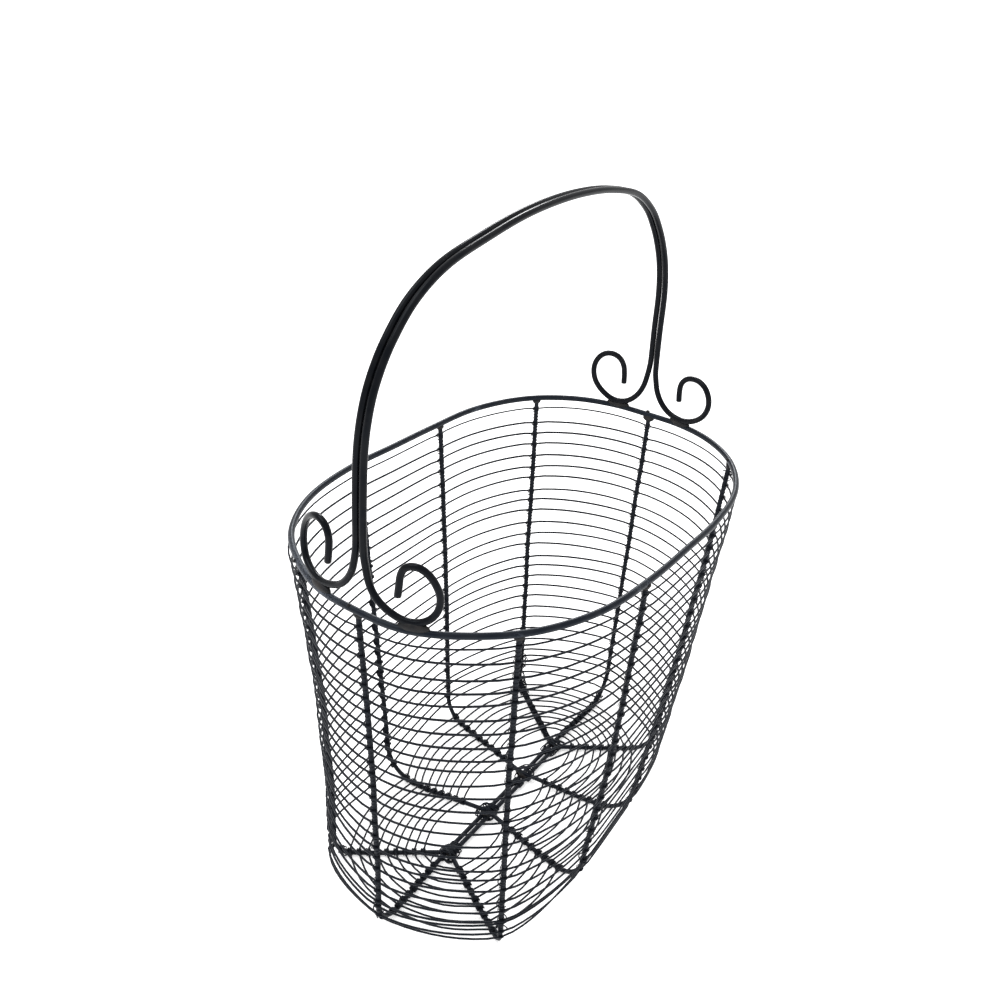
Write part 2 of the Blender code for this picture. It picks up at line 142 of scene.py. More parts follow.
class Mixer:
    """Adds the nodes of one material."""

    def __init__(self, name: str) -> None:
        """Start an empty material.

        Args:
            name: the material's name.
        """
        self.material = bpy.data.materials.new(name)
        self.material.use_nodes = True
        self.tree = self.material.node_tree
        self.tree.nodes.clear()

    def node(self, kind: str, settings: dict, inputs: dict) -> bpy.types.Node:
        """Add any node.

        Args:
            kind: the node's type.
            settings: its properties, set first.
            inputs: a value or a Signal for each named or numbered socket.

        Returns:
            The node.
        """
        made = self.tree.nodes.new(kind)
        for key, value in settings.items():
            setattr(made, key, value)
        for key, value in inputs.items():
            if isinstance(value, Signal):
                self.tree.links.new(value.socket, made.inputs[key])
            else:
                made.inputs[key].default_value = value
        return made

    def maths(self, operation: str, first: Signal | float, second: Signal | float) -> Signal:
        """Add a Math node and return its result."""
        made = self.node("ShaderNodeMath", {"operation": operation}, {0: first, 1: second})
        return Signal(self, made.outputs[0])

    def object_place(self) -> Signal:
        """Return the place on the basket, in metres."""
        return Signal(self, self.node("ShaderNodeTexCoord", {}, {}).outputs["Object"])

    def noise(self, scale: float, detail: float, roughness: float = 0.5) -> Signal:
        """Add a noise of patches a metre, with finer layers of a given strength."""
        made = self.node("ShaderNodeTexNoise", {"noise_dimensions": "3D"}, {
            "Vector": self.object_place(), "Scale": scale, "Detail": detail, "Roughness": roughness})
        return Signal(self, made.outputs["Fac"])

    def place(self, axis: str) -> Signal:
        """Return the place along one axis of the basket, in metres."""
        parts = self.node("ShaderNodeSeparateXYZ", {}, {"Vector": self.object_place()})
        return Signal(self, parts.outputs[axis])

    def blend(self, factor: Signal, first: Signal | tuple, second: Signal | tuple) -> Signal:
        """Mix two colours: the first at factor 0 and the second at 1."""
        made = self.node("ShaderNodeMix", {"data_type": "RGBA"},
                         {"Factor": factor, 6: first, 7: second})
        return Signal(self, made.outputs[2])

    def surface(self, inputs: dict) -> bpy.types.Material:
        """Close the material with a Principled shader.

        Args:
            inputs: a value or a Signal for each socket of the shader.

        Returns:
            The material.
        """
        shader = self.node("ShaderNodeBsdfPrincipled", {}, inputs)
        self.node("ShaderNodeOutputMaterial", {}, {"Surface": Signal(self, shader.outputs["BSDF"])})
        return self.material


Colour = tuple[float, float, float]


def opaque(colour: Colour) -> tuple[float, float, float, float]:
    """Return a colour with full alpha."""
    return (*colour, 1.0)


@dataclass(frozen=True)
class PaintFinish:
    """Black paint on steel, with its unevenness and worn places.

    The grain is in grits a metre, and the relief in metres. The paint is worn where the mixed
    pattern is over worn_from, and in flecks at the back left, between the two distances of
    worn_end.
    """

    name: str
    worn: Colour
    rough: float
    worn_from: float
    worn_to: float
    relief: float
    grain: float = 900.0
    smooth: float = 0.32
    specular: float = 0.14
    dark: Colour = (0.004, 0.005, 0.008)
    light: Colour = (0.010, 0.011, 0.014)
    sheen: Colour = (0.76, 0.86, 1.0)
    worn_end: tuple | None = None

    PATCH_GRAIN = 0.12
    WEAR_GRAIN = 0.045
    FLECK_GRAIN = 1.4
    PATCH_LEVELS = (0.3, 0.7)
    FLECK_LEVELS = (0.46, 0.60)
    WEAR_MIX = (0.7, 0.3)
    GLOSS_MIX = (0.55, 0.45)
    HEIGHT_MIX = (0.6, 0.4, 0.5)
    WORN_ROUGHNESS = 0.16

    def make(self) -> bpy.types.Material:
        """Build the material.

        Returns:
            The material, with its patterns on object coordinates.
        """
        mixer = Mixer(self.name)
        patches = mixer.noise(self.grain * self.PATCH_GRAIN, 3.0)
        grit = mixer.noise(self.grain, 4.0, 0.6)
        wear = mixer.noise(self.grain * self.WEAR_GRAIN, 2.0)
        wear = wear * self.WEAR_MIX[0] + grit * self.WEAR_MIX[1]
        wear = wear.above(self.worn_from, self.worn_to)
        if self.worn_end:
            wear = wear + self.flecks(mixer)
        colour = patches.above(*self.PATCH_LEVELS)
        colour = mixer.blend(colour, opaque(self.dark), opaque(self.light))
        colour = mixer.blend(wear, colour, opaque(self.worn))
        unevenness = self.GLOSS_MIX[0] * patches + self.GLOSS_MIX[1] * grit
        gloss = self.smooth + (self.rough - self.smooth) * unevenness
        gloss = gloss + self.WORN_ROUGHNESS * wear
        fine, broad, worn = self.HEIGHT_MIX
        height = fine * grit + broad * patches + worn * (wear * grit)
        bump = mixer.node("ShaderNodeBump", {}, {
            "Strength": 1.0, "Distance": self.relief, "Height": height})
        return mixer.surface({
            "Base Color": colour, "Roughness": gloss, "Specular IOR Level": self.specular,
            "Specular Tint": opaque(self.sheen), "Normal": Signal(mixer, bump.outputs["Normal"])})

    def flecks(self, mixer: Mixer) -> Signal:
        """Draw the worn flecks at the back left.

        Args:
            mixer: the material's nodes.

        Returns:
            Their mask.
        """
        start, full = self.worn_end
        at_end = (0.0 - mixer.place("X")).above(start, full)
        at_end = at_end * mixer.place("Y").above(0.0, full - start)
        flecks = mixer.noise(self.grain * self.FLECK_GRAIN, 3.0, 0.7)
        return at_end * flecks.above(*self.FLECK_LEVELS)


@dataclass(frozen=True)
class FloorFinish:
    """Plain pale studio floor."""

    name: str = "studio_floor"
    colour: Colour = (0.95, 0.95, 0.95)
    roughness: float = 0.9
    glow: float = 0.5

    def make(self) -> bpy.types.Material:
        """Build the material.

        Returns:
            The material.
        """
        return Mixer(self.name).surface({
            "Base Color": opaque(self.colour), "Roughness": self.roughness,
            "Specular IOR Level": 0.0, "Emission Color": opaque(self.colour),
            "Emission Strength": self.glow})


# The shape of the basket


@dataclass(frozen=True)
class Upright:
    """One upright: its place on the rim, its corner on the base and how it is bent off straight."""

    name: str
    turn: float
    base: tuple[float, float]
    belly: tuple[float, float] = (0.0, 0.0)
    bend: float = 9.0 * MM


@dataclass(frozen=True)
class Stock:
    """Thicknesses of the steel, and the paint-thin gap between welded pieces."""

    rod: float = 4.8 * MM
    rib: float = 3.6 * MM
    wire: float = 1.3 * MM
    binding: float = 0.4 * MM
    gap: float = 0.3 * MM
    spine_gap: float = 1.1 * MM


STOCK = Stock()


Value = TypeVar("Value", float, Vector)


def smooth_between(before: Value, start: Value, end: Value, after: Value, share: float) -> Value:
    """Read a smooth curve through four values or points.

    Args:
        before: the value before the start.
        start: the value at share 0.
        end: the value at share 1.
        after: the value after the end.
        share: how far from start to end.

    Returns:
        The value on the curve.
    """
    square, cube = share * share, share ** 3
    return (before * (2 * square - share - cube) + start * (2 - 5 * square + 3 * cube)
            + end * (share + 4 * square - 3 * cube) + after * (cube - square)) / 2


def rise(value: float, start: float, width: float) -> float:
    """Return 0 up to the start, and 1 from a width past it."""
    return max(0.0, min(1.0, (value - start) / width))


def eased(share: float) -> float:
    """Return a share that starts and ends slowly."""
    return share * share * (3 - 2 * share)


def sideways(out: Vector) -> Vector:
    """Return the level direction along the wall, from the one out of it."""
    return Vector((-out.y, out.x, 0.0))


def square_to(axis: Vector, out: Vector, travel: Vector | None = None) -> tuple[Vector, Vector]:
    """Find two directions across a rod.

    Args:
        axis: the rod's direction.
        out: roughly the first direction.
        travel: roughly the second, where it matters which way it points.

    Returns:
        The first direction and the second one, square to each other and to the rod.
    """
    out = (out - axis * out.dot(axis)).normalized()
    ahead = axis.cross(out)
    if travel is not None and ahead.dot(travel) < 0.0:
        ahead = -ahead
    return out, ahead


def smooth_path(points: Sequence[Vector], steps: int) -> list[Vector]:
    """Run a smooth path through open points.

    Args:
        points: the points to pass.
        steps: steps between each two.

    Returns:
        The finer points.
    """
    ends = [2 * points[0] - points[1]] + list(points) + [2 * points[-1] - points[-2]]
    path = []
    for index in range(len(points) - 1):
        for step in range(steps):
            path.append(smooth_between(*ends[index:index + 4], step / steps))
    return path + [points[-1]]


def evenly(points: Sequence[Vector], spacing: float) -> list[Vector]:
    """Place points at even steps along a path.

    Args:
        points: the path.
        spacing: the wanted step in metres.

    Returns:
        The new points, both ends included.
    """
    lengths = [0.0]
    for start, end in zip(points, points[1:]):
        lengths.append(lengths[-1] + (end - start).length)
    count = max(2, round(lengths[-1] / spacing))
    made = []
    index = 0
    for step in range(count + 1):
        want = lengths[-1] * step / count
        while index < len(points) - 2 and lengths[index + 1] < want:
            index += 1
        run = lengths[index + 1] - lengths[index]
        share = (want - lengths[index]) / run if run else 0.0
        made.append(points[index].lerp(points[index + 1], share))
    return made


def filleted(corners: Sequence[Vector], radii: Sequence[float], steps: int = 8) -> list[Vector]:
    """Round the inner corners of a path.

    Args:
        corners: the path's corners.
        radii: the bend radius at each inner corner, 0 for none.
        steps: steps in each bend.

    Returns:
        The rounded path.
    """
    path = [corners[0]]
    for before, corner, after, radius in zip(corners, corners[1:], corners[2:], radii):
        inward, outward = (before - corner).normalized(), (after - corner).normalized()
        half = inward.angle(outward) / 2
        if radius == 0.0 or half > NEARLY_STRAIGHT:
            path.append(corner)
            continue
        centre = corner + (inward + outward).normalized() * (radius / math.sin(half))
        start = corner + inward * (radius / math.tan(half)) - centre
        end = corner + outward * (radius / math.tan(half)) - centre
        sweep = start.angle(end)
        for step in range(steps + 1):
            share = step / steps
            arc = start * math.sin((1 - share) * sweep) + end * math.sin(share * sweep)
            path.append(centre + arc / math.sin(sweep))
    return path + [corners[-1]]


@dataclass
class BasketForm:
    """The bent oval of the rim, the base under it, and the wall between them.

    The oval's shares of its half length and width are read at even steps of a turn from +X.
    The uprights' base corners are shares of the base's half length and width. Each meeting is
    a junction of the spine, and how many half spacings to the side of it a run ends. Each end
    of the rim lies between its two end turns.
    """

    half_length: float = 185.0 * MM
    half_width: float = 124.5 * MM
    depth: float = 277.5 * MM
    base_half_length: float = 166.0 * MM
    base_half_width: float = 100.0 * MM
    foot_length: float = 10.0 * MM
    belly_depth: float = 5.0 * MM
    spine_rise: float = 2.2 * MM
    spine_bend: float = 12.0 * MM
    middle_line: float = -1.4 * MM
    straight_share: float = 0.5
    oval_shares: tuple = (0.984, 1.014, 1.057, 1.084, 1.059, 0.989, 0.971, 1.019,
                          1.066, 1.068, 1.036, 1.020, 1.010, 1.035, 1.048, 1.065,
                          1.049, 0.996, 0.975, 1.010, 1.057, 1.062, 1.037, 1.004)
    junction_shares: tuple = (-0.487, -0.177, 0.155, 0.447)
    meetings: dict = field(default_factory=lambda: {
        "left_end": (0, 1), "back_left": (0, 1), "front_left": (0, -1), "cross_left_back": (1, 2),
        "cross_left_front": (1, -2), "cross_right_back": (2, 2), "cross_right_front": (2, -2),
        "right_end": (3, 1), "back_right": (3, 1), "front_right": (3, -1)})
    uprights: tuple = (
        Upright("right_end", -0.003, (1.003, -0.008), bend=28.0 * MM),
        Upright("back_right", 0.113, (0.808, 0.719), (-0.11, -0.15)),
        Upright("cross_right_back", 0.201, (0.354, 0.997), (0.0, -0.27), 18.0 * MM),
        Upright("cross_left_back", 0.283, (-0.209, 0.911), bend=28.0 * MM),
        Upright("back_left", 0.4175, (-0.779, 0.702), (0.78, -0.59), 15.0 * MM),
        Upright("left_end", 0.501, (-0.989, -0.015), (0.0, -0.64), 24.0 * MM),
        Upright("front_left", 0.614, (-0.756, -0.777), (0.16, 0.21)),
        Upright("cross_left_front", 0.7035, (-0.268, -0.933), (0.0, -0.68), 24.0 * MM),
        Upright("cross_right_front", 0.788, (0.250, -0.892), (0.11, -0.55), 26.0 * MM),
        Upright("front_right", 0.879, (0.752, -0.698), (0.27, -0.27), 20.0 * MM))
    end_turns: dict = field(default_factory=lambda: {
        End.RIGHT: (-0.167, 0.167), End.LEFT: (0.667, 0.333)})
    rim_place: Vector = field(init=False)
    spine_z: float = field(init=False)
    cross_z: float = field(init=False)

    def __post_init__(self) -> None:
        """Centre the oval and set the heights of the spine."""
        flat = STOCK.rib / 2 * math.cos(math.pi / SOLID_RIB_SIDES)
        points = [self.oval_point(index / TURN_STEPS) for index in range(TURN_STEPS)]
        across, along = [point.x for point in points], [point.y for point in points]
        middle = Vector((min(across) + max(across), min(along) + max(along), 0.0)) / 2
        self.rim_place = Vector((0.0, 0.0, self.depth + flat)) - middle
        self.spine_z = flat + self.spine_rise
        self.cross_z = self.spine_z + STOCK.rib + STOCK.gap

    @property
    def rim_z(self) -> float:
        """The height of the middle of the rim rod."""
        return self.rim_place.z

    def oval_point(self, turn: float) -> Vector:
        """Read the rim's oval before it is centred.

        Args:
            turn: share of a turn from +X.

        Returns:
            The point.
        """
        place = (turn % 1.0) * len(self.oval_shares)
        index = int(place)
        near = [self.oval_shares[(index + shift) % len(self.oval_shares)]
                for shift in (-1, 0, 1, 2)]
        share = smooth_between(*near, place - index)
        across = self.half_length * share * math.cos(math.tau * turn)
        return Vector((across, self.half_width * share * math.sin(math.tau * turn), 0.0))

    def rim_point(self, turn: float) -> Vector:
        """Return a point on the middle of the rim rod."""
        return self.oval_point(turn) + self.rim_place

    def round_uprights(self, turn: float, pairs: Sequence[Vector], straight: float) -> Vector:
        """Read a pair of shares round the basket from the pairs at the uprights.

        Args:
            turn: share of a turn from +X.
            pairs: one pair of shares for each upright.
            straight: how far the curve is pulled straight between the uprights.

        Returns:
            The pair there.
        """
        count = len(self.uprights)
        places = [upright.turn for upright in self.uprights] + [self.uprights[0].turn + 1.0]
        turn = (turn - places[0]) % 1.0 + places[0]
        index = max(place for place in range(count) if places[place] <= turn)
        share = (turn - places[index]) / (places[index + 1] - places[index])
        near = [pairs[(index + shift) % count] for shift in (-1, 0, 1, 2)]
        return smooth_between(*near, share).lerp(near[1].lerp(near[2], share), straight)

    def base_point(self, turn: float) -> Vector:
        """Find the base's outline under a place on the rim.

        Args:
            turn: share of a turn from +X.

        Returns:
            The point.
        """
        pairs = [Vector(upright.base) for upright in self.uprights]
        across, along = self.round_uprights(turn, pairs, self.straight_share)
        return Vector((self.base_half_length * across, self.base_half_width * along,
                       self.rim_z - self.depth))

    def wall_point(self, turn: float, depth: float, proud: float = 0.0) -> Vector:
        """Return a point of the bent wall.

        Args:
            turn: share of a turn from +X.
            depth: metres below the rim.
            proud: metres outside the uprights' middle lines.

        Returns:
            The point.
        """
        pairs = [Vector(upright.belly) for upright in self.uprights]
        across, along = self.round_uprights(turn, pairs, 0.0)
        belly = self.belly_depth * math.sin(math.pi * depth / self.depth)
        point = self.rim_point(turn).lerp(self.base_point(turn), depth / self.depth)
        point += Vector((belly * across, belly * along, 0.0))
        return point + self.outward(turn, depth) * proud if proud else point

    def outward(self, turn: float, depth: float) -> Vector:
        """Return the level direction out of the wall."""
        step = 1 / TURN_STEPS
        along = self.wall_point(turn + step, depth) - self.wall_point(turn - step, depth)
        return Vector((along.y, -along.x, 0.0)).normalized()

    def rim_turn_at(self, across: float, end: End) -> float:
        """Find where the rim lies at a distance across the basket.

        Args:
            across: the distance along Y.
            end: which end of the basket.

        Returns:
            The share of a turn.
        """
        low, high = self.end_turns[end]
        for _ in range(HALVINGS):
            middle = (low + high) / 2
            if self.rim_point(middle).y < across:
                low = middle
            else:
                high = middle
        return (low + high) / 2

    def spine_point(self, index: int, height: float) -> Vector:
        """Return the place of one of the spine's four junctions, at a height."""
        along = self.base_half_length * self.junction_shares[index]
        return Vector((along, self.middle_line, height))

    def junction(self, name: str) -> Vector:
        """Find where an upright's run along the floor meets the spine.

        Args:
            name: which upright.

        Returns:
            The point.
        """
        places = [self.base_half_length * share for share in self.junction_shares]
        offset = STOCK.rib / 2 + STOCK.spine_gap / 2
        index, side = self.meetings[name]
        height = self.cross_z if name.startswith("cross") else self.spine_z
        return Vector((places[index], self.middle_line + offset * side, height))


FORM = BasketForm()
UPRIGHTS = {upright.name: upright for upright in FORM.uprights}
NAMES = list(UPRIGHTS)

# The two junctions of the spine where a cross rib lies over it
CROSSED = (1, 2)


def upright_corners(name: str) -> list[Vector]:
    """Find an upright's corners.

    Args:
        name: which upright.

    Returns:
        The points under the rim, at the base, past the foot and at the spine.
    """
    upright = UPRIGHTS[name]
    top = FORM.wall_point(upright.turn, STOCK.rod / 2 + STOCK.gap)
    low = FORM.wall_point(upright.turn, FORM.depth)
    end = FORM.junction(name)
    run = Vector((end.x - low.x, end.y - low.y, 0.0)).normalized()
    return [top, low, low + run * (upright.bend + FORM.foot_length), end]


def spoke(name: str) -> tuple[Vector, float]:
    """Return where an upright's run along the floor starts, and how long it is."""
    low, end = upright_corners(name)[1], FORM.junction(name)
    return low, (end.xy - low.xy).length


def bent_upright(name: str, steps: int = 12) -> list[Vector]:
    """Bend an upright down the wall.

    Args:
        name: which upright.
        steps: steps down the wall.

    Returns:
        The corners, with points down the wall between the first two.
    """
    top, *rest = upright_corners(name)
    turn = UPRIGHTS[name].turn
    wall = [FORM.wall_point(turn, FORM.depth * step / steps) for step in range(1, steps)]
    return [top, *wall, *rest]


class RibLine:
    """The middle line of a rib, with the slight waver of a rod bent by hand."""

    WAVER = 0.9 * MM
    WAVES = 22.0
    UPWARD_SHARE = 0.3
    FADE_POINTS = 6
    FLOOR_HEIGHT = 0.02
    FLOOR_SHARE = 0.4
    STEP = 4.0 * MM
    APART = Vector((17.3, 31.7, 5.9))

    def __init__(self, name: str, first: str, last: str | None) -> None:
        """Lay out the rib.

        Args:
            name: the CAD node it follows.
            first: the upright where it starts.
            last: the upright where it ends, or None where it ends at the spine.
        """
        self.name = name
        self.first = first
        self.last = last
        corners = bent_upright(first)
        straight = [0.0] * (len(corners) - 4)
        radii = straight + [UPRIGHTS[first].bend, 0.0]
        if last is None:
            run = (corners[-1] - corners[-2]).normalized()
            stand_off = STOCK.rib / 2 + STOCK.gap + STOCK.rib / 2 * abs(run.x)
            corners[-1] = corners[-1] - run * (stand_off / abs(run.y))
        else:
            middle = 0.0 if name.startswith("cross") or name == "long_rib" else FORM.spine_bend
            corners += list(reversed(bent_upright(last)))
            radii += [middle, middle, 0.0, UPRIGHTS[last].bend] + straight
        self.points = self.waver(evenly(filleted(corners, radii), self.STEP))

    def waver(self, points: list[Vector]) -> list[Vector]:
        """Bend the line a little, and keep it on the floor.

        Args:
            points: the even line.

        Returns:
            The wavering line.
        """
        made = []
        for index, point in enumerate(points):
            to_end = min(index, len(points) - 1 - index)
            fade = min(1.0, to_end / self.FADE_POINTS)
            place = point * self.WAVES + Vector((len(self.name), 3.0, 7.0))
            shift = Vector([noise.noise(place + self.APART * axis) for axis in range(3)])
            if point.z < self.FLOOR_HEIGHT:
                fade *= self.FLOOR_SHARE
            shift.z *= self.UPWARD_SHARE
            moved = point + shift * (self.WAVER * fade)
            moved.z = max(moved.z, STOCK.rib / 2)
            made.append(moved)
        return made

    def from_upright(self, upright: str) -> list[Vector]:
        """Return the line, starting from the top of one of its uprights."""
        return self.points if upright == self.first else list(reversed(self.points))

    def at_depth(self, upright: str, depth: float) -> tuple[Vector, Vector]:
        """Find the place at a depth below the rim.

        Args:
            upright: which upright.
            depth: metres below the rim.

        Returns:
            The point and the direction down the rod.
        """
        line = self.from_upright(upright)
        height = FORM.rim_z - depth
        for start, end in zip(line, line[1:]):
            if start.z >= height > end.z:
                point = start.lerp(end, (start.z - height) / (start.z - end.z))
                return point, (end - start).normalized()
        return line[0], (line[1] - line[0]).normalized()

    def at_share(self, upright: str, share: float) -> tuple[Vector, Vector]:
        """Find the place on the floor run.

        Args:
            upright: which upright.
            share: 0 at the base corner and 1 at the spine.

        Returns:
            The point and the direction to the spine.
        """
        low, whole = spoke(upright)
        line = self.from_upright(upright)
        for start, end in zip(line, line[1:]):
            near, far = (start.xy - low.xy).length, (end.xy - low.xy).length
            if start.z <= self.FLOOR_HEIGHT and near <= share * whole < far:
                point = start.lerp(end, (share * whole - near) / (far - near))
                return point, (end - start).normalized()
        return line[-1], (line[-1] - line[-2]).normalized()


def across_upright(lines: dict, name: str, depth: float) -> tuple[Vector, ...]:
    """Find a place on an upright and the directions there.

    Args:
        lines: each upright's rib line.
        name: which upright.
        depth: metres below the rim.

    Returns:
        The rod's middle, its direction, the one out of the wall and the one along the wall.
    """
    centre, axis = lines[name].at_depth(name, depth)
    return centre, axis, *square_to(axis, FORM.outward(UPRIGHTS[name].turn, depth))


def ring_point(centre: Vector, ways: Sequence[Vector], angle: float, reach: float) -> Vector:
    """Return a point of a ring, from its middle and the directions of its two radii."""
    return centre + (ways[0] * math.cos(angle) + ways[1] * math.sin(angle)) * reach


# Making pieces


def inside_box(point: Vector, radius: float) -> Vector:
    """Return the point, moved in where a rod of that radius would leave the solids' box."""
    low, high = CAD_BOX
    return Vector([min(max(point[axis], low[axis] + radius), high[axis] - radius)
                   for axis in range(3)])


def deselect() -> None:
    """Leave object mode and select nothing."""
    if bpy.context.object and bpy.context.object.mode != "OBJECT":
        bpy.ops.object.mode_set(mode="OBJECT")
    bpy.ops.object.select_all(action="DESELECT")


def dress(piece: bpy.types.Object, material: bpy.types.Material, slot: Slot,
          *nodes: str) -> None:
    """Give a piece its finish, hang it on the basket's body, hide the CAD nodes that it stands for and
    log its size.

    Args:
        piece: the finished mesh object.
        material: its finish.
        slot: the record's slot that the finish belongs to; not used.
        nodes: the CAD nodes that it stands for.
    """
    piece.data.materials.clear()
    piece.data.materials.append(material)
    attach(piece, BODY)
    if nodes:
        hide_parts(*nodes)
    places = [vertex.co for vertex in piece.data.vertices]
    low = [min(place[axis] for place in places) / MM for axis in range(3)]
    high = [max(place[axis] for place in places) / MM for axis in range(3)]
    LOG.info("%s: %d faces, %.2f %.2f %.2f to %.2f %.2f %.2f mm",
             piece.name, len(piece.data.polygons), *low, *high)


def clean_mesh(piece: bpy.types.Object, angle: float = 50.0) -> None:
    """Merge doubled corners, turn the faces out and shade the round parts smooth.

    Args:
        piece: the active mesh object; not used, as the steps work on the active object.
        angle: edges sharper than this stay sharp, in degrees.
    """
    bpy.ops.object.mode_set(mode="EDIT")
    bpy.ops.mesh.select_all(action="SELECT")
    bpy.ops.mesh.remove_doubles(threshold=0.01 * MM)
    bpy.ops.mesh.normals_make_consistent(inside=False)
    bpy.ops.object.mode_set(mode="OBJECT")
    bpy.ops.object.shade_smooth_by_angle(angle=math.radians(angle))


def rod(name: str, lines: Sequence[Sequence[Vector]], radius: float, sides: int,
        closed: bool = False, ends: float = 0.0,
        swell: Callable[[Vector], float] | None = None) -> bpy.types.Object:
    """Make a rod or wire along one or more lines.

    Args:
        name: the piece's name.
        lines: the middle lines.
        radius: the rod's radius.
        sides: faces round it.
        closed: whether the lines close on themselves.
        ends: how far the cut ends are rounded off, in metres.
        swell: a share of the radius at each point, for worn and hammered places.

    Returns:
        The mesh object.
    """
    deselect()
    bpy.ops.curve.primitive_nurbs_path_add(location=(0.0, 0.0, 0.0))
    piece = bpy.context.object
    piece.name = name
    curve = piece.data
    curve.name = name
    curve.dimensions = "3D"
    curve.twist_mode = "MINIMUM"
    curve.bevel_depth = radius
    curve.bevel_resolution = (sides - 4) // 2
    curve.use_fill_caps = not closed
    curve.splines.clear()
    for line in lines:
        path = [inside_box(point, radius) for point in line]
        shares = [1.0] * len(path)
        if ends:
            head, tail = (path[1] - path[0]).normalized(), (path[-2] - path[-1]).normalized()
            start = [path[0] + head * ends * along for along in END_PLACES]
            finish = [path[-1] + tail * ends * along for along in reversed(END_PLACES)]
            path = [*start, *path[1:-1], *finish]
            shares = [*END_SHARES, *shares[1:-1], *reversed(END_SHARES)]
        spline = curve.splines.new("POLY")
        spline.points.add(len(path) - 1)
        for place, point, share in zip(spline.points, path, shares):
            place.co = (*point, 1.0)
            place.radius = share * (swell(point) if swell else 1.0)
        spline.use_cyclic_u = closed
        spline.use_smooth = True
    bpy.ops.object.convert(target="MESH")
    piece = bpy.context.object
    clean_mesh(piece)
    return piece


@dataclass
class Lump:
    """A lump of weld: a sphere drawn out along a direction and made uneven.

    The size is its length, width and height. The first is along its direction, and the last
    roughly up. It is uneven by its roughness, in metres, in coarse and fine patches a metre.
    """

    name: str
    middle: Vector
    size: Vector
    along: Vector
    up: Vector
    roughness: float
    nodes: tuple = ()
    coarse: float = 260.0
    fine: float = 620.0
    soft_angle: float = 70.0

    def build(self, material: bpy.types.Material, seed: int) -> None:
        """Make the lump.

        Args:
            material: its finish.
            seed: which unevenness it has.
        """
        deselect()
        bpy.ops.mesh.primitive_ico_sphere_add(subdivisions=4, radius=0.5, location=(0.0, 0.0, 0.0))
        piece = bpy.context.object
        piece.name = self.name
        piece.data.name = self.name
        along = self.along.normalized()
        side = self.up.cross(along).normalized()
        ways = list(zip((along, side, along.cross(side)), self.size))
        for vertex in piece.data.vertices:
            point = self.middle.copy()
            for (way, length), share in zip(ways, vertex.co.copy()):
                point += way * (share * length)
            out = (point - self.middle).normalized()
            uneven = noise.noise(point * self.coarse + Vector((seed * 3.1, 0.0, 0.0)))
            uneven += 0.5 * noise.noise(point * self.fine + Vector((0.0, seed * 1.7, 0.0)))
            vertex.co = inside_box(point + out * (uneven * self.roughness), 0.0)
        clean_mesh(piece, self.soft_angle)
        dress(piece, material, Slot.WELD, *self.nodes)


def wrap(centre: Vector, axis: Vector, out: Vector, travel: Vector, reach: float, advance: float,
         turns: float, draw: random.Random, steps: int = 11) -> list[Vector]:
    """Wind a wire round a rod.

    Args:
        centre: the rod's middle at the crossing.
        axis: the rod's direction.
        out: where the wire comes and goes.
        travel: the wire's direction past the rod.
        reach: from the rod's middle to the wire's.
        advance: how far the wire moves along the rod while it winds.
        turns: turns round the rod.
        draw: seeded random numbers, for the looseness of the turn.
        steps: points in one turn.

    Returns:
        The wire's points.
    """
    axis = axis.normalized()
    out, ahead = square_to(axis, out, travel)
    count = max(4, round(steps * turns))
    slack = draw.uniform(0.0, 0.10)
    made = []
    for step in range(count + 1):
        share = step / count
        angle = math.tau * turns * share
        loose = reach * (1.0 + slack * math.sin(math.pi * share) ** 2)
        made.append(centre + axis * (advance * (share - 0.5)) + out * (loose * math.cos(angle))
                    + ahead * (loose * math.sin(angle)))
    return made


# The pieces of the basket


@dataclass
class Rim:
    """The heavy rod bent into the oval mouth, a little uneven, and most so at the left end."""

    material: bpy.types.Material
    points: int = 240
    sides: int = 20
    shrink: float = 0.12 * MM
    waves: float = 130.0
    unevenness: float = 0.012
    left_unevenness: float = 0.03
    left_zone: tuple = (0.13, 0.05)
    worn_down: float = 0.35

    def build(self) -> None:
        """Make the rim."""
        line = [FORM.rim_point(index / self.points) for index in range(self.points)]
        made = rod("rim_rod", [line], STOCK.rod / 2 - self.shrink, self.sides, closed=True,
                   swell=self.hammered)
        dress(made, self.material, Slot.PAINT, "rim")

    def hammered(self, point: Vector) -> float:
        """Return the rod's share of its radius at a place."""
        rough = self.unevenness + self.left_unevenness * rise(-point.x, *self.left_zone)
        return 1.0 + rough * (noise.noise(point * self.waves) - self.worn_down)


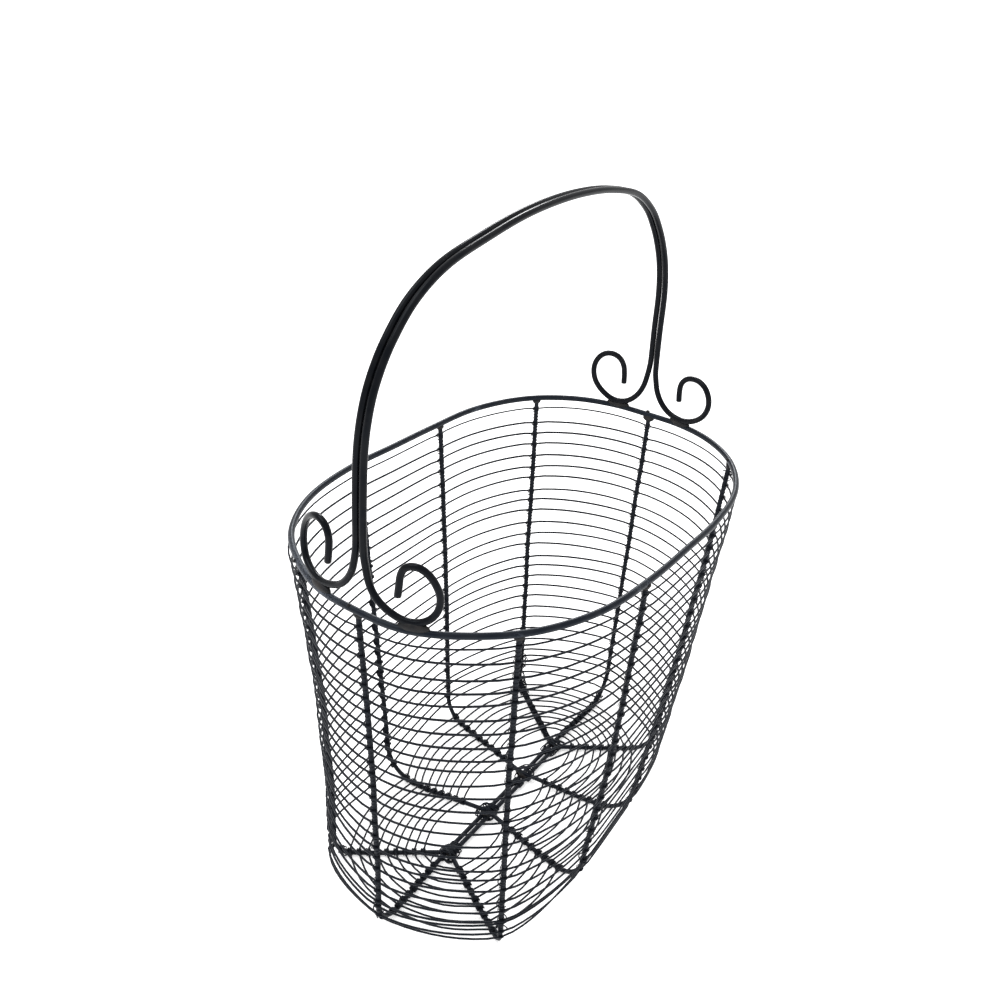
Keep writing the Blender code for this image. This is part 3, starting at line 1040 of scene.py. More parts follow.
@dataclass
class Handle:
    """The two rods of the handle, side by side over the arch, each with a scroll at both ends."""

    material: bpy.types.Material
    rise: float = 204.5 * MM
    inset: float = 2.0 * MM
    scroll_reach: float = 50.0 * MM
    scroll_height: float = 47.0 * MM
    split_height: float = 50.0 * MM
    sides: int = 20
    spacing: float = 3.0 * MM
    steps: int = 6
    shrink: float = 0.1 * MM
    rounding: float = 0.7 * MM
    offset: float = STOCK.rod / 2 + STOCK.gap / 2
    arch_shares: tuple = (
        (-1.000, 0.361), (-0.993, 0.499), (-0.969, 0.605), (-0.929, 0.690), (-0.861, 0.775),
        (-0.753, 0.861), (-0.597, 0.924), (-0.382, 0.962), (-0.185, 0.988), (0.012, 0.999),
        (0.211, 0.997), (0.414, 0.979), (0.628, 0.936), (0.775, 0.861), (0.866, 0.777),
        (0.928, 0.695), (0.971, 0.608), (0.995, 0.500), (0.995, 0.361))
    scroll_shares: dict = field(default_factory=lambda: {
        (End.LEFT, Side.BACK): (
            (0.498, 0.390), (0.472, 0.610), (0.468, 0.795), (0.523, 0.948), (0.641, 1.015),
            (0.778, 0.987), (0.912, 0.890), (1.026, 0.731), (1.102, 0.537), (1.126, 0.344),
            (1.084, 0.169), (0.979, 0.067), (0.821, 0.010), (0.631, 0.000), (0.442, 0.060),
            (0.278, 0.150), (0.156, 0.294), (0.071, 0.476), (0.028, 0.682), (0.006, 0.861)),
        (End.LEFT, Side.FRONT): (
            (0.510, 0.355), (0.527, 0.545), (0.542, 0.698), (0.590, 0.821), (0.682, 0.876),
            (0.786, 0.859), (0.879, 0.771), (0.950, 0.631), (0.993, 0.474), (0.990, 0.305),
            (0.948, 0.169), (0.861, 0.058), (0.728, 0.000), (0.576, 0.008), (0.413, 0.067),
            (0.278, 0.145), (0.156, 0.268), (0.080, 0.439), (0.039, 0.629), (0.013, 0.791)),
        (End.RIGHT, Side.BACK): (
            (0.456, 0.389), (0.466, 0.598), (0.496, 0.760), (0.572, 0.880), (0.675, 0.940),
            (0.789, 0.943), (0.901, 0.877), (0.983, 0.734), (1.007, 0.559), (0.974, 0.372),
            (0.900, 0.230), (0.797, 0.114), (0.667, 0.026), (0.527, 0.000), (0.378, 0.040),
            (0.257, 0.134), (0.148, 0.284), (0.072, 0.474), (0.032, 0.683), (0.009, 0.862)),
        (End.RIGHT, Side.FRONT): (
            (0.513, 0.355), (0.499, 0.557), (0.516, 0.720), (0.601, 0.842), (0.730, 0.898),
            (0.874, 0.896), (1.007, 0.825), (1.099, 0.685), (1.124, 0.518), (1.077, 0.346),
            (0.993, 0.216), (0.880, 0.109), (0.734, 0.027), (0.575, 0.000), (0.407, 0.032),
            (0.273, 0.115), (0.158, 0.255), (0.077, 0.432), (0.034, 0.625), (0.009, 0.789))})

    def scroll(self, end: End, side: Side) -> list[Vector]:
        """Lay out one scroll, from its cut end to where the rods come together.

        Args:
            end: which end of the basket.
            side: which side of the basket.

        Returns:
            The points.
        """
        foot = STOCK.rod + STOCK.gap
        reach, lift = self.scroll_reach - self.offset, self.scroll_height - foot
        made = [(self.offset + reach * out, foot + lift * up)
                for out, up in self.scroll_shares[(end, side)]]
        made.append((self.offset, self.split_height))
        tip = FORM.rim_point(0.0 if end is End.RIGHT else 0.5)
        points = []
        for out, up in made:
            across = FORM.middle_line + side.value * out
            place = FORM.rim_point(FORM.rim_turn_at(across, end))
            setback = abs(tip.x) - abs(place.x)
            points.append(Vector((end.value * (self.span - setback), across, FORM.rim_z + up)))
        return points

    @property
    def span(self) -> float:
        """Half the handle's length along the basket."""
        return FORM.half_length - self.inset

    def line(self, side: Side) -> list[Vector]:
        """Lay out one rod from scroll to scroll.

        Args:
            side: which side of the basket.

        Returns:
            The points of its middle line.
        """
        across = FORM.middle_line + side.value * self.offset
        arch = [Vector((self.span * along, across, FORM.rim_z + self.rise * up))
                for along, up in self.arch_shares]
        left, right = self.scroll(End.LEFT, side), self.scroll(End.RIGHT, side)
        return evenly(smooth_path([*left, *arch, *reversed(right)], self.steps), self.spacing)

    def build(self) -> None:
        """Make both rods."""
        for side in Side:
            name = side.name.lower()
            made = rod(f"handle_bar_{name}", [self.line(side)], STOCK.rod / 2 - self.shrink,
                       self.sides, ends=self.rounding)
            dress(made, self.material, Slot.PAINT, f"handle_rod_{name}")


@dataclass
class Ribs:
    """The six rods that make the ten uprights and the spine of the floor."""

    material: bpy.types.Material
    sides: int = 14
    rounding: float = 0.4 * MM
    runs: tuple = (("long_rib", "left_end", "right_end"),
                   ("front_corner_rib", "front_left", "front_right"),
                   ("cross_rib_left", "cross_left_back", "cross_left_front"),
                   ("cross_rib_right", "cross_right_back", "cross_right_front"),
                   ("back_left_rib", "back_left", None), ("back_right_rib", "back_right", None))
    lines: dict = field(default_factory=dict)

    def build(self) -> None:
        """Make the ribs, and keep each upright's line for the wires."""
        for name, first, last in self.runs:
            line = RibLine(name, first, last)
            for upright in (first, last):
                if upright:
                    self.lines[upright] = line
            made = rod(f"{name}_rod", [line.points], STOCK.rib / 2, self.sides, ends=self.rounding)
            dress(made, self.material, Slot.PAINT, name)


@dataclass
class WallWinding:
    """The fine wire wound round the uprights, course under course, in three lengths.

    Each row of depths is one course, in millimetres under the rim, at the stations given as
    shares of a turn: by the right end, at the back, by the left end, at the front and by the
    right end again. Hand winding leaves them uneven, and they lie lower at the front left.
    The bulges after an upright are in millimetres, at the rim and at the base, and a skew
    moves the widest place of a bulge on. Thicker paint swells the wire by shares. Each zone is
    where its share starts and the width in which it comes up, in metres.
    """

    material: bpy.types.Material
    lines: dict
    reach: float = STOCK.rib / 2 + STOCK.wire / 2
    sides: int = 8
    step_upright: int = 3
    span_step: float = 9.0 * MM
    unevenness: float = 0.35 * MM
    half_bend: float = 52.0
    settled: float = 60.0 * MM
    sags: tuple = (-0.5, 0.5)
    bows: tuple = (-0.4, 0.5)
    bulge_power: float = 1.5
    last_turns: float = 1.4
    everywhere: float = 0.07
    at_back: float = 0.14
    at_left: float = 0.16
    at_right: float = 0.12
    at_low_right: float = 0.22
    back_zone: tuple = (-0.01, 0.05)
    left_zone: tuple = (0.08, 0.08)
    right_zone: tuple = (0.08, 0.06)
    low_zone: tuple = (-0.14, 0.06)
    rim_zone: tuple = (0.012, 0.008)
    bulges: dict = field(default_factory=lambda: {
        "cross_left_back": (1.2, 9.0), "back_left": (0.0, 4.5), "left_end": (0.0, 3.4),
        "front_left": (0.0, 1.5), "cross_left_front": (0.0, -1.0),
        "cross_right_front": (-1.0, 3.0)})
    skews: dict = field(default_factory=lambda: {"cross_left_back": 2.4, "back_left": 0.55})
    stations: tuple = (0.042, 0.161, 0.478, 0.625, 0.950)
    depths: tuple = (
        (10.5, 9.5, 9.6, 7.6, 10.3), (23.5, 21.9, 19.5, 19.4, 19.4), (32.1, 31.4, 31.9, 31.8, 29.4),
        (41.7, 41.1, 42.6, 42.0, 41.1), (51.6, 52.5, 53.2, 51.7, 50.5), (61.5, 63.1, 63.1, 64.5, 61.3),
        (69.0, 73.1, 73.4, 76.0, 72.5), (82.5, 84.8, 84.8, 88.0, 84.2), (91.5, 93.1, 95.0, 98.8, 93.5),
        (101.5, 102.9, 103.8, 107.4, 102.8), (113.2, 115.0, 115.6, 119.0, 114.5),
        (121.6, 127.6, 125.3, 132.0, 123.9), (132.4, 136.5, 136.8, 144.5, 135.1),
        (143.1, 151.4, 146.6, 154.5, 145.6), (153.0, 159.4, 158.6, 163.5, 155.3),
        (164.0, 169.1, 170.1, 175.5, 166.5), (175.0, 177.2, 181.8, 186.8, 177.6),
        (185.0, 188.0, 192.6, 199.5, 188.2), (196.0, 199.0, 202.5, 208.5, 198.8),
        (207.0, 210.0, 213.1, 220.5, 210.0), (218.0, 221.0, 226.5, 233.0, 221.3),
        (230.0, 233.0, 235.5, 242.0, 232.6), (242.0, 244.0, 247.0, 252.0, 244.2),
        (250.0, 250.0, 252.0, 254.5, 251.0), (259.0, 260.0, 262.0, 263.5, 260.0),
        (267.0, 267.0, 268.0, 269.0, 267.4))
    lengths: tuple = (("upper", 0, 8), ("middle", 8, 16), ("lower", 16, 26))

    def depth(self, course: int, turn: float) -> float:
        """Read how far under the rim a course lies.

        Args:
            course: its number, from the rim down.
            turn: share of a turn from +X.

        Returns:
            The depth in metres.
        """
        turn = turn % 1.0
        row = self.depths[course]
        count = len(self.stations)
        after = next((index for index in range(count) if self.stations[index] > turn), 0)
        before = (after - 1) % count
        start, end = self.stations[before], self.stations[after]
        share = eased(((turn - start) % 1.0) / ((end - start) % 1.0))
        return (row[before] + (row[after] - row[before]) * share) * MM

    def line(self, first: int, last: int, draw: random.Random) -> list[Vector]:
        """Run one length of wire round its courses.

        Args:
            first: its first course.
            last: the course after its last one.
            draw: seeded random numbers for the hand's unevenness.

        Returns:
            The wire's points.
        """
        uprights = FORM.uprights
        count = len(uprights)
        points = []
        for course in range(first, last):
            for index in range(count):
                here = uprights[(self.step_upright + index) % count]
                after = uprights[(self.step_upright + index + 1) % count]
                depth = self.place(course, index)
                if index:
                    points += self.crossing(here, depth)
                elif course == first:
                    points += self.turn_round(here, depth, -STOCK.wire, 1.0, draw)
                final = self.place(course, index + 1)
                points += self.span(here, after, depth, final, draw)
            here = uprights[self.step_upright]
            final = self.place(course, count)
            if course + 1 < last:
                drop = self.place(course + 1, 0) - final
                points += self.turn_round(here, final + drop / 2, drop, 1.0, draw)
            else:
                points += self.turn_round(here, final, STOCK.wire, self.last_turns, draw)
        return points

    def place(self, course: int, index: int) -> float:
        """Return a course's depth at an upright, counted on from the one it steps down at."""
        upright = FORM.uprights[(self.step_upright + index) % len(FORM.uprights)]
        draw = random.Random(course * 31 + index)
        return self.depth(course, upright.turn) + draw.uniform(-1, 1) * self.unevenness

    def crossings(self, name: str) -> list[float]:
        """Return the depths of all the courses at an upright."""
        index = (NAMES.index(name) - self.step_upright) % len(NAMES)
        return [self.place(course, index) for course in range(len(self.depths))]

    def crossing(self, upright: Upright, depth: float) -> list[Vector]:
        """Bend the wire over the outside of one upright."""
        centre, _, *ways = across_upright(self.lines, upright.name, depth)
        bend = math.radians(self.half_bend)
        return [ring_point(centre, ways, -bend * step / 2, self.reach) for step in range(-2, 3)]

    def turn_round(self, upright: Upright, depth: float, advance: float, turns: float,
                   draw: random.Random) -> list[Vector]:
        """Wind the wire round one upright, where it starts, ends or steps down a course."""
        centre, axis = self.lines[upright.name].at_depth(upright.name, depth)
        out = FORM.outward(upright.turn, depth)
        return wrap(centre, axis, out, sideways(out), self.reach, advance, turns, draw)

    def span(self, here: Upright, after: Upright, start: float, end: float,
             draw: random.Random) -> list[Vector]:
        """Lay the wire from one upright to the next, following how far each rod has turned in.

        Args:
            here: the upright that it leaves.
            after: the upright that it comes to.
            start: the depth that it leaves at.
            end: the depth that it comes to.
            draw: seeded random numbers.

        Returns:
            The points between the two.
        """
        gap = (after.turn - here.turn) % 1.0
        walls = FORM.wall_point(here.turn, start), FORM.wall_point(after.turn, end)
        first = self.lines[here.name].at_depth(here.name, start)[0] - walls[0]
        last = self.lines[after.name].at_depth(after.name, end)[0] - walls[1]
        steps = max(4, round((walls[1] - walls[0]).length / self.span_step))
        top, bottom = self.bulges.get(here.name, (0.0, 0.0))
        sag = draw.uniform(*self.sags) * MM
        bow = draw.uniform(*self.bows) * MM * min(1.0, start / self.settled)
        bow += (top + (bottom - top) * (start / FORM.depth) ** self.bulge_power) * MM
        skew = self.skews.get(here.name, 1.0)
        points = []
        for step in range(1, steps):
            share = step / steps
            depth = start + (end - start) * share + sag * math.sin(math.pi * share)
            turn = here.turn + gap * share
            proud = self.reach + bow * math.sin(math.pi * share ** skew)
            points.append(FORM.wall_point(turn, depth, proud) + first.lerp(last, eased(share)))
        return points

    def build(self) -> None:
        """Make the three lengths."""
        for index, (name, first, last) in enumerate(self.lengths):
            draw = random.Random(11 + index)
            made = rod(f"wall_wire_{name}", [self.line(first, last, draw)], STOCK.wire / 2,
                       self.sides, swell=self.thickness)
            dress(made, self.material, Slot.WIRE, f"wall_winding_{name}")

    def thickness(self, point: Vector) -> float:
        """Swell the wire with thicker paint at the back and the ends.

        Args:
            point: a place on the wire.

        Returns:
            The share of its radius that it has there.
        """
        back, left = rise(point.y, *self.back_zone), rise(-point.x, *self.left_zone)
        right = rise(point.x, *self.right_zone)
        low_right = rise(-point.z, *self.low_zone) * right * (point.y < 0.0)
        swell = self.everywhere + self.at_back * back * (1.0 - left) + self.at_left * left
        swell += self.at_right * right + self.at_low_right * low_right
        return 1.0 + swell * rise(FORM.rim_z - point.z, *self.rim_zone)


@dataclass
class FloorWinding:
    """The same wire wound in ovals round the spine, over each spoke that it crosses."""

    material: bpy.types.Material
    lines: dict
    courses: int = 9
    sides: int = 8
    margin: float = 3.0 * MM
    bend_share: float = 0.4
    heart: float = 13.0 * MM
    thickness: float = STOCK.wire * 1.15
    reach: float = STOCK.rib / 2 + STOCK.wire / 2
    shoulder: float = 0.9
    bow_share: float = 0.09
    unevenness: float = 0.8 * MM
    span_step: float = 9.0 * MM

    def build(self) -> None:
        """Make the floor's wire."""
        draw = random.Random(5)
        uprights = FORM.uprights
        total = self.courses * len(uprights)
        top = Vector((0.0, 0.0, self.reach))
        points = []
        for count in range(total + 1):
            places = []
            for step in (-1, 0, 1):
                progress = min(1.0, max(0.0, (count + step) / total))
                places.append(self.place(uprights[(count + step) % len(uprights)], progress)[0])
            back, centre, ahead = places
            travel = (ahead - back).normalized() * (STOCK.rib / 2)
            edge = centre + top * self.shoulder
            points += [edge - travel, centre + top, edge + travel]
            if count < total:
                points += self.span(points[-1], ahead + top * self.shoulder, draw)
        made = rod("floor_wire", [points], self.thickness / 2, self.sides)
        dress(made, self.material, Slot.WIRE, "floor_winding")

    def crossings(self, name: str) -> list[tuple[Vector, Vector]]:
        """Return each place where the wire lies on a spoke, and the spoke's direction there."""
        total = self.courses * len(NAMES)
        return [self.place(UPRIGHTS[name], count / total)
                for count in range(NAMES.index(name), total, len(NAMES))]

    def place(self, upright: Upright, progress: float) -> tuple[Vector, Vector]:
        """Find where the wire crosses a spoke.

        Args:
            upright: the spoke's upright.
            progress: 0 at the wire's outer end and 1 at the inner.

        Returns:
            The place, and the spoke's direction there.
        """
        whole = spoke(upright.name)[1]
        outer = (upright.bend * self.bend_share + self.margin) / whole
        inner = 1.0 - self.heart / whole
        share = outer + (inner - outer) * progress
        return self.lines[upright.name].at_share(upright.name, share)

    def span(self, start: Vector, end: Vector, draw: random.Random) -> list[Vector]:
        """Bow the wire outwards between two spokes.

        Args:
            start: where it leaves the one.
            end: where it comes to the other.
            draw: seeded random numbers, for the hand's unevenness.

        Returns:
            The points between the two.
        """
        run = end - start
        side = Vector((run.y, -run.x, 0.0)).normalized()
        bow = run.length * self.bow_share + draw.uniform(-1.0, 1.0) * self.unevenness
        steps = max(3, round(run.length / self.span_step))
        return [start.lerp(end, step / steps) + side * (bow * math.sin(math.pi * (step / steps)))
                for step in range(1, steps)]


@dataclass
class Bindings:
    """The thin wire wound down each upright and round each spoke, which holds the courses.

    It is thicker by a share where it is heavy, looser towards one side, and pulled tight by a
    share at two uprights. One spoke is ringed: its name, the shares of it between which the
    wire goes round it like a spring, and the spring's pitch.
    """

    material: bpy.types.Material
    lines: dict
    wall: WallWinding
    floor: FloorWinding
    first_depth: float = 7.5 * MM
    last_depth: float = 263.0 * MM
    open_pitch: float = 2.9 * MM
    close_pitch: float = 1.0 * MM
    zone: float = 1.5 * MM
    points: int = 8
    sides: int = 4
    loop: float = 1.1 * MM
    spoke_turns: int = 3
    spoke_pitch: float = 1.25 * MM
    spoke_wire: float = 1.05 * MM
    loose_on_course: tuple = (0.3, 1.0)
    loose_between: tuple = (0.0, 0.12)
    loose_on_spoke: tuple = (0.0, 0.4)
    climb: float = 1.6
    over_course: float = STOCK.wire * 0.92
    bed: float = 0.4
    heavy: dict = field(default_factory=lambda: {
        "right_end": 1.4, "back_right": 1.7, "cross_right_back": 1.6, "back_left": 1.2,
        "front_right": 1.2, "cross_right_front": 1.2})
    ringed: tuple = ("back_right", 0.06, 0.90, 2.1 * MM)
    tight: dict = field(default_factory=lambda: {"back_left": 0.35, "cross_left_back": 0.6})
    usual_side: Vector = field(default_factory=lambda: Vector((-0.53, 0.85, 0.0)))
    loop_sides: dict = field(default_factory=lambda: {"front_right": Vector((0.53, -0.85, 0.0))})

    def build(self) -> None:
        """Make the binding of every upright and its spoke."""
        for index, upright in enumerate(FORM.uprights):
            draw = random.Random(70 + index)
            heavy = self.heavy.get(upright.name, 1.0)
            made = rod(f"binding_{upright.name}", [self.down(upright, heavy, draw)],
                       STOCK.binding / 2 * heavy, self.sides)
            dress(made, self.material, Slot.WIRE)
            lines = [self.round_spoke(centre, axis, draw)
                     for centre, axis in self.floor.crossings(upright.name)]
            if upright.name == self.ringed[0]:
                lines.append(self.rings())
            made = rod(f"spoke_binding_{upright.name}", lines, self.spoke_wire / 2, self.sides)
            dress(made, self.material, Slot.WIRE)

    def down(self, upright: Upright, heavy: float, draw: random.Random) -> list[Vector]:
        """Wind the thin wire down one upright, over each course that it meets.

        Args:
            upright: which upright.
            heavy: how much thicker than usual its wire is.
            draw: seeded random numbers, for the loose loops.

        Returns:
            The points.
        """
        crossings = self.wall.crossings(upright.name)
        loops = self.loop_sides.get(upright.name, self.usual_side)
        close = STOCK.rib / 2 + STOCK.binding * self.bed * heavy
        loop = self.loop * self.tight.get(upright.name, 1.0)
        depth, turns, slack = self.first_depth, draw.random(), 0.0
        points = []
        while depth < self.last_depth:
            near = max(0.0, 1.0 - min(abs(depth - place) for place in crossings) / self.zone)
            centre, _, out, ahead = across_upright(self.lines, upright.name, depth)
            angle = math.tau * turns
            way = out * math.cos(angle) + ahead * math.sin(angle)
            if turns % 1.0 < 1.0 / self.points:
                slack = draw.uniform(*(self.loose_on_course if near > 0.0 else self.loose_between))
            proud = self.over_course * min(1.0, near * self.climb) * max(0.0, math.cos(angle)) ** 0.5
            proud += loop * slack * max(0.0, way.dot(loops)) ** 2
            points.append(centre + way * (close + proud))
            depth += (self.close_pitch if near > 0.0 else self.open_pitch) / self.points
            turns += 1.0 / self.points
        return points

    def round_spoke(self, centre: Vector, axis: Vector, draw: random.Random) -> list[Vector]:
        """Wind the thin wire round a spoke and the course that lies on it.

        Args:
            centre: the spoke's middle at the crossing.
            axis: the spoke's direction.
            draw: seeded random numbers, for the looseness.

        Returns:
            The points.
        """
        side = axis.cross(UP).normalized()
        wide = STOCK.rib / 2 + STOCK.binding * 0.5
        tall = (STOCK.rib + STOCK.wire + STOCK.binding) / 2
        middle = centre + Vector((0.0, 0.0, STOCK.wire / 2))
        loose = 1.0 + draw.uniform(*self.loose_on_spoke)
        points = []
        for step in range(self.spoke_turns * self.points + 1):
            angle = math.tau * step / self.points
            along = self.spoke_pitch * (step / self.points - self.spoke_turns / 2)
            point = middle + axis * along + side * (wide * loose * math.cos(angle))
            point.z = max(point.z + tall * math.sin(angle), self.spoke_wire / 2)
            points.append(point)
        return points

    def rings(self) -> list[Vector]:
        """Wind the thin wire like a spring along the ringed spoke.

        Returns:
            The points.
        """
        name, start, end, pitch = self.ringed
        count = round(spoke(name)[1] * (end - start) / pitch * self.points)
        points = []
        for step in range(count + 1):
            share = start + (end - start) * step / count
            centre, axis = self.lines[name].at_share(name, share)
            loose = 0.5 + 0.4 * abs(noise.noise(centre * 150.0))
            side = axis.cross(UP).normalized()
            point = ring_point(centre, (side, side.cross(axis)), math.tau * step / self.points,
                               STOCK.rib / 2 + self.spoke_wire * loose)
            point.z = max(point.z, self.spoke_wire / 2)
            points.append(point)
        return points


@dataclass
class Knots:
    """The rough tangles of wire, at the meetings on the spine and at the feet of the back.

    Each row for the feet is an upright, a place on it, a number of loops and how loose they
    are. The place is a share of its spoke, or of its depth above the spoke if it is negative.
    """

    material: bpy.types.Material
    lines: dict
    points: int = 16
    sides: int = 6
    loops: tuple = (10, 5, 5, 12)
    slant: float = 5.6 * MM
    end_slant: float = 1.7
    foot_slant: float = 0.7
    shift: float = 0.8
    swells: tuple = (0.97, 1.22)
    loose_width: float = 1.3
    loose_height: float = 1.4
    spine_radius: float = STOCK.wire * 0.42
    foot_radius: float = STOCK.wire * 0.32
    feet: tuple = (("back_right", 0.03, 9, 2.4), ("back_right", 0.16, 6, 1.5),
                   ("back_right", -0.08, 6, 1.7), ("right_end", 0.10, 3, 0.9),
                   ("back_left", 0.08, 3, 0.8))

    def build(self) -> None:
        """Make every knot."""
        for index, loops in enumerate(self.loops):
            made = rod(f"spine_knot_{index + 1}", [self.on_spine(index, loops)],
                       self.spine_radius, self.sides)
            dress(made, self.material, Slot.WIRE)
        bunches = [self.at_foot(*foot, random.Random(130 + count))
                   for count, foot in enumerate(self.feet)]
        made = rod("foot_tangles", bunches, self.foot_radius, self.sides)
        dress(made, self.material, Slot.WIRE)

    def on_spine(self, index: int, loops: int) -> list[Vector]:
        """Wind a knot round one of the spine's junctions.

        Args:
            index: which junction.
            loops: how many loops.

        Returns:
            The points.
        """
        wide = STOCK.rib + STOCK.spine_gap / 2 + STOCK.wire * 0.4
        tall = STOCK.rib / 2 + STOCK.wire * 0.5
        height, slant = FORM.spine_z, self.slant * self.end_slant
        if index in CROSSED:
            tall += STOCK.rib * 0.5
            height, slant = FORM.spine_z + STOCK.rib * 0.6, self.slant
        ways = Vector((1.0, 0.0, 0.0)), Vector((0.0, 1.0, 0.0)), UP
        return self.tangle(FORM.spine_point(index, height), ways,
                           (wide * self.loose_width, tall * self.loose_height), loops, slant,
                           random.Random(90 + index))

    def at_foot(self, name: str, share: float, loops: int, loose: float,
                draw: random.Random) -> list[Vector]:
        """Wind a bunch round an upright or its spoke.

        Args:
            name: the upright.
            share: where on the spoke, or above it if negative.
            loops: how many loops.
            loose: how far they reach and slant.
            draw: seeded random numbers for the slants.

        Returns:
            The points.
        """
        line = self.lines[name]
        middle, axis = (line.at_depth(name, FORM.depth * (1.0 + share)) if share < 0.0
                        else line.at_share(name, share))
        side = axis.cross(Vector((0.2, 0.1, 1.0))).normalized()
        reach = STOCK.rib / 2 + STOCK.wire * 0.4 + loose * 0.8 * MM
        return self.tangle(middle, (axis, side, side.cross(axis)), (reach, reach), loops,
                           self.slant * loose * self.foot_slant, draw)

    def tangle(self, middle: Vector, ways: tuple, reaches: tuple, loops: int, slant: float,
               draw: random.Random) -> list[Vector]:
        """Wind a wire round a place, each loop slanted another way.

        Args:
            middle: the middle of the place.
            ways: the rod's direction there, and the two across it.
            reaches: how far the loops reach in those two.
            loops: how many loops.
            slant: the most that a loop slants and shifts.
            draw: seeded random numbers for the slants.

        Returns:
            The points.
        """
        along, side, up = ways
        slants = [draw.uniform(-1.0, 1.0) * slant for _ in range(loops + 2)]
        shifts = [draw.uniform(-self.shift, self.shift) * slant for _ in range(loops + 2)]
        swells = [draw.uniform(*self.swells) for _ in range(loops + 2)]
        points = []
        for step in range(loops * self.points + 1):
            turns = step / self.points
            loop, share = int(turns), turns % 1.0
            lean, shift, swell = (table[loop] + (table[loop + 1] - table[loop]) * share
                                  for table in (slants, shifts, swells))
            angle = math.tau * turns
            point = middle + along * (shift + lean * math.cos(angle + loop))
            point += (side * (reaches[0] * swell * math.cos(angle))
                      + up * (reaches[1] * swell * math.sin(angle)))
            point.z = max(point.z, STOCK.wire / 2)
            points.append(point)
        return points


@dataclass
class LooseEnds:
    """Short cut ends of wire that stand off the uprights where the winder tied off.

    Each end is an upright, its depth and its free length in millimetres, and where it leaves
    the upright, in degrees from straight out.
    """

    material: bpy.types.Material
    lines: dict
    ends: tuple = (
        ("front_left", 214.0, 8.0, 200.0), ("front_left", 236.0, 7.0, 150.0),
        ("front_left", 251.0, 9.0, 20.0), ("front_left", 262.0, 7.0, 215.0),
        ("left_end", 258.0, 8.0, 40.0), ("left_end", 266.0, 6.0, 190.0),
        ("cross_left_front", 226.0, 7.0, 20.0), ("cross_left_front", 5.5, 4.5, 160.0),
        ("front_right", 9.0, 5.0, 30.0), ("front_right", 14.0, 4.0, 200.0),
        ("back_right", 250.0, 9.0, 60.0), ("back_right", 262.0, 10.0, 340.0),
        ("cross_left_front", 250.0, 6.0, 200.0))
    steps: int = 12
    sides: int = 6
    thickness: float = 0.9 * MM
    droop: float = 0.9
    splay: float = 0.3
    curl: float = 0.5
    shortening: float = 0.3

    def build(self) -> None:
        """Make all the ends as one piece."""
        draw = random.Random(57)
        lines = [self.line(*end, draw) for end in self.ends]
        made = rod("loose_wire_ends", lines, self.thickness / 2, self.sides)
        dress(made, self.material, Slot.WIRE)

    def line(self, name: str, depth: float, length: float, heading: float,
             draw: random.Random) -> list[Vector]:
        """Wind an end half round its upright and let it stand off.

        Args:
            name: the upright.
            depth: millimetres under the rim.
            length: the free length in millimetres.
            heading: where it leaves the upright, in degrees from straight out.
            draw: seeded random numbers for its curl.

        Returns:
            The points.
        """
        centre, axis, out, ahead = across_upright(self.lines, name, depth * MM)
        reach = STOCK.rib / 2 + STOCK.wire + self.thickness / 2
        leave = math.radians(heading)
        angles = [leave - math.pi * (1.0 - step / self.steps) for step in range(self.steps)]
        points = [ring_point(centre, (out, ahead), angle, reach) for angle in angles]
        away = ahead * math.cos(leave) - out * math.sin(leave)
        droop = draw.uniform(-self.droop, self.droop)
        splay = draw.uniform(-self.splay, self.splay)
        curl = (axis * droop + out * splay).normalized()
        start = ring_point(centre, (out, ahead), leave, reach)
        for step in range(self.steps + 1):
            share = step / self.steps
            point = start + away * (length * MM * share * (1.0 - self.shortening * share))
            point += curl * (length * MM * self.curl * share * share)
            point.z = max(point.z, self.thickness / 2)
            points.append(point)
        return points


@dataclass
class SpineTies:
    """Wire wound round the two rods of the spine beside each meeting of the spokes."""

    material: bpy.types.Material
    offset: float = 9.0 * MM
    pitch: float = 1.5 * MM
    turns: int = 4
    points: int = 16
    sides: int = 8
    radius: float = STOCK.wire / 2 * 0.96
    slant: float = 0.6
    ways: tuple = (1, 1, -1, -1)

    def build(self) -> None:
        """Make the four ties."""
        for index, (share, way) in enumerate(zip(FORM.junction_shares, self.ways)):
            draw = random.Random(40 + index)
            middle = FORM.base_half_length * share + way * self.offset
            line = self.line(middle, draw)
            made = rod(f"spine_wrap_{index + 1}", [line], self.radius, self.sides)
            dress(made, self.material, Slot.WIRE, f"spine_tie_{index + 1}")

    def line(self, middle: float, draw: random.Random) -> list[Vector]:
        """Wind one tie round both rods of the spine.

        Args:
            middle: its place along X.
            draw: seeded random numbers.

        Returns:
            The points.
        """
        tall = STOCK.rib / 2 + STOCK.wire / 2
        reach = STOCK.rib / 2 + STOCK.gap / 2
        slant = draw.uniform(-self.slant, self.slant) * MM
        made = []
        for index in range(self.turns * self.points + 1):
            turns = index / self.points
            angle = math.tau * (turns + 0.5 / self.points)
            across = FORM.middle_line + math.copysign(reach, math.cos(angle))
            across += tall * math.cos(angle)
            along = middle + self.pitch * (turns - self.turns / 2) + slant * math.cos(angle)
            up = FORM.spine_z + tall * math.sin(angle)
            made.append(Vector((along, across, max(up, STOCK.wire / 2))))
        return made


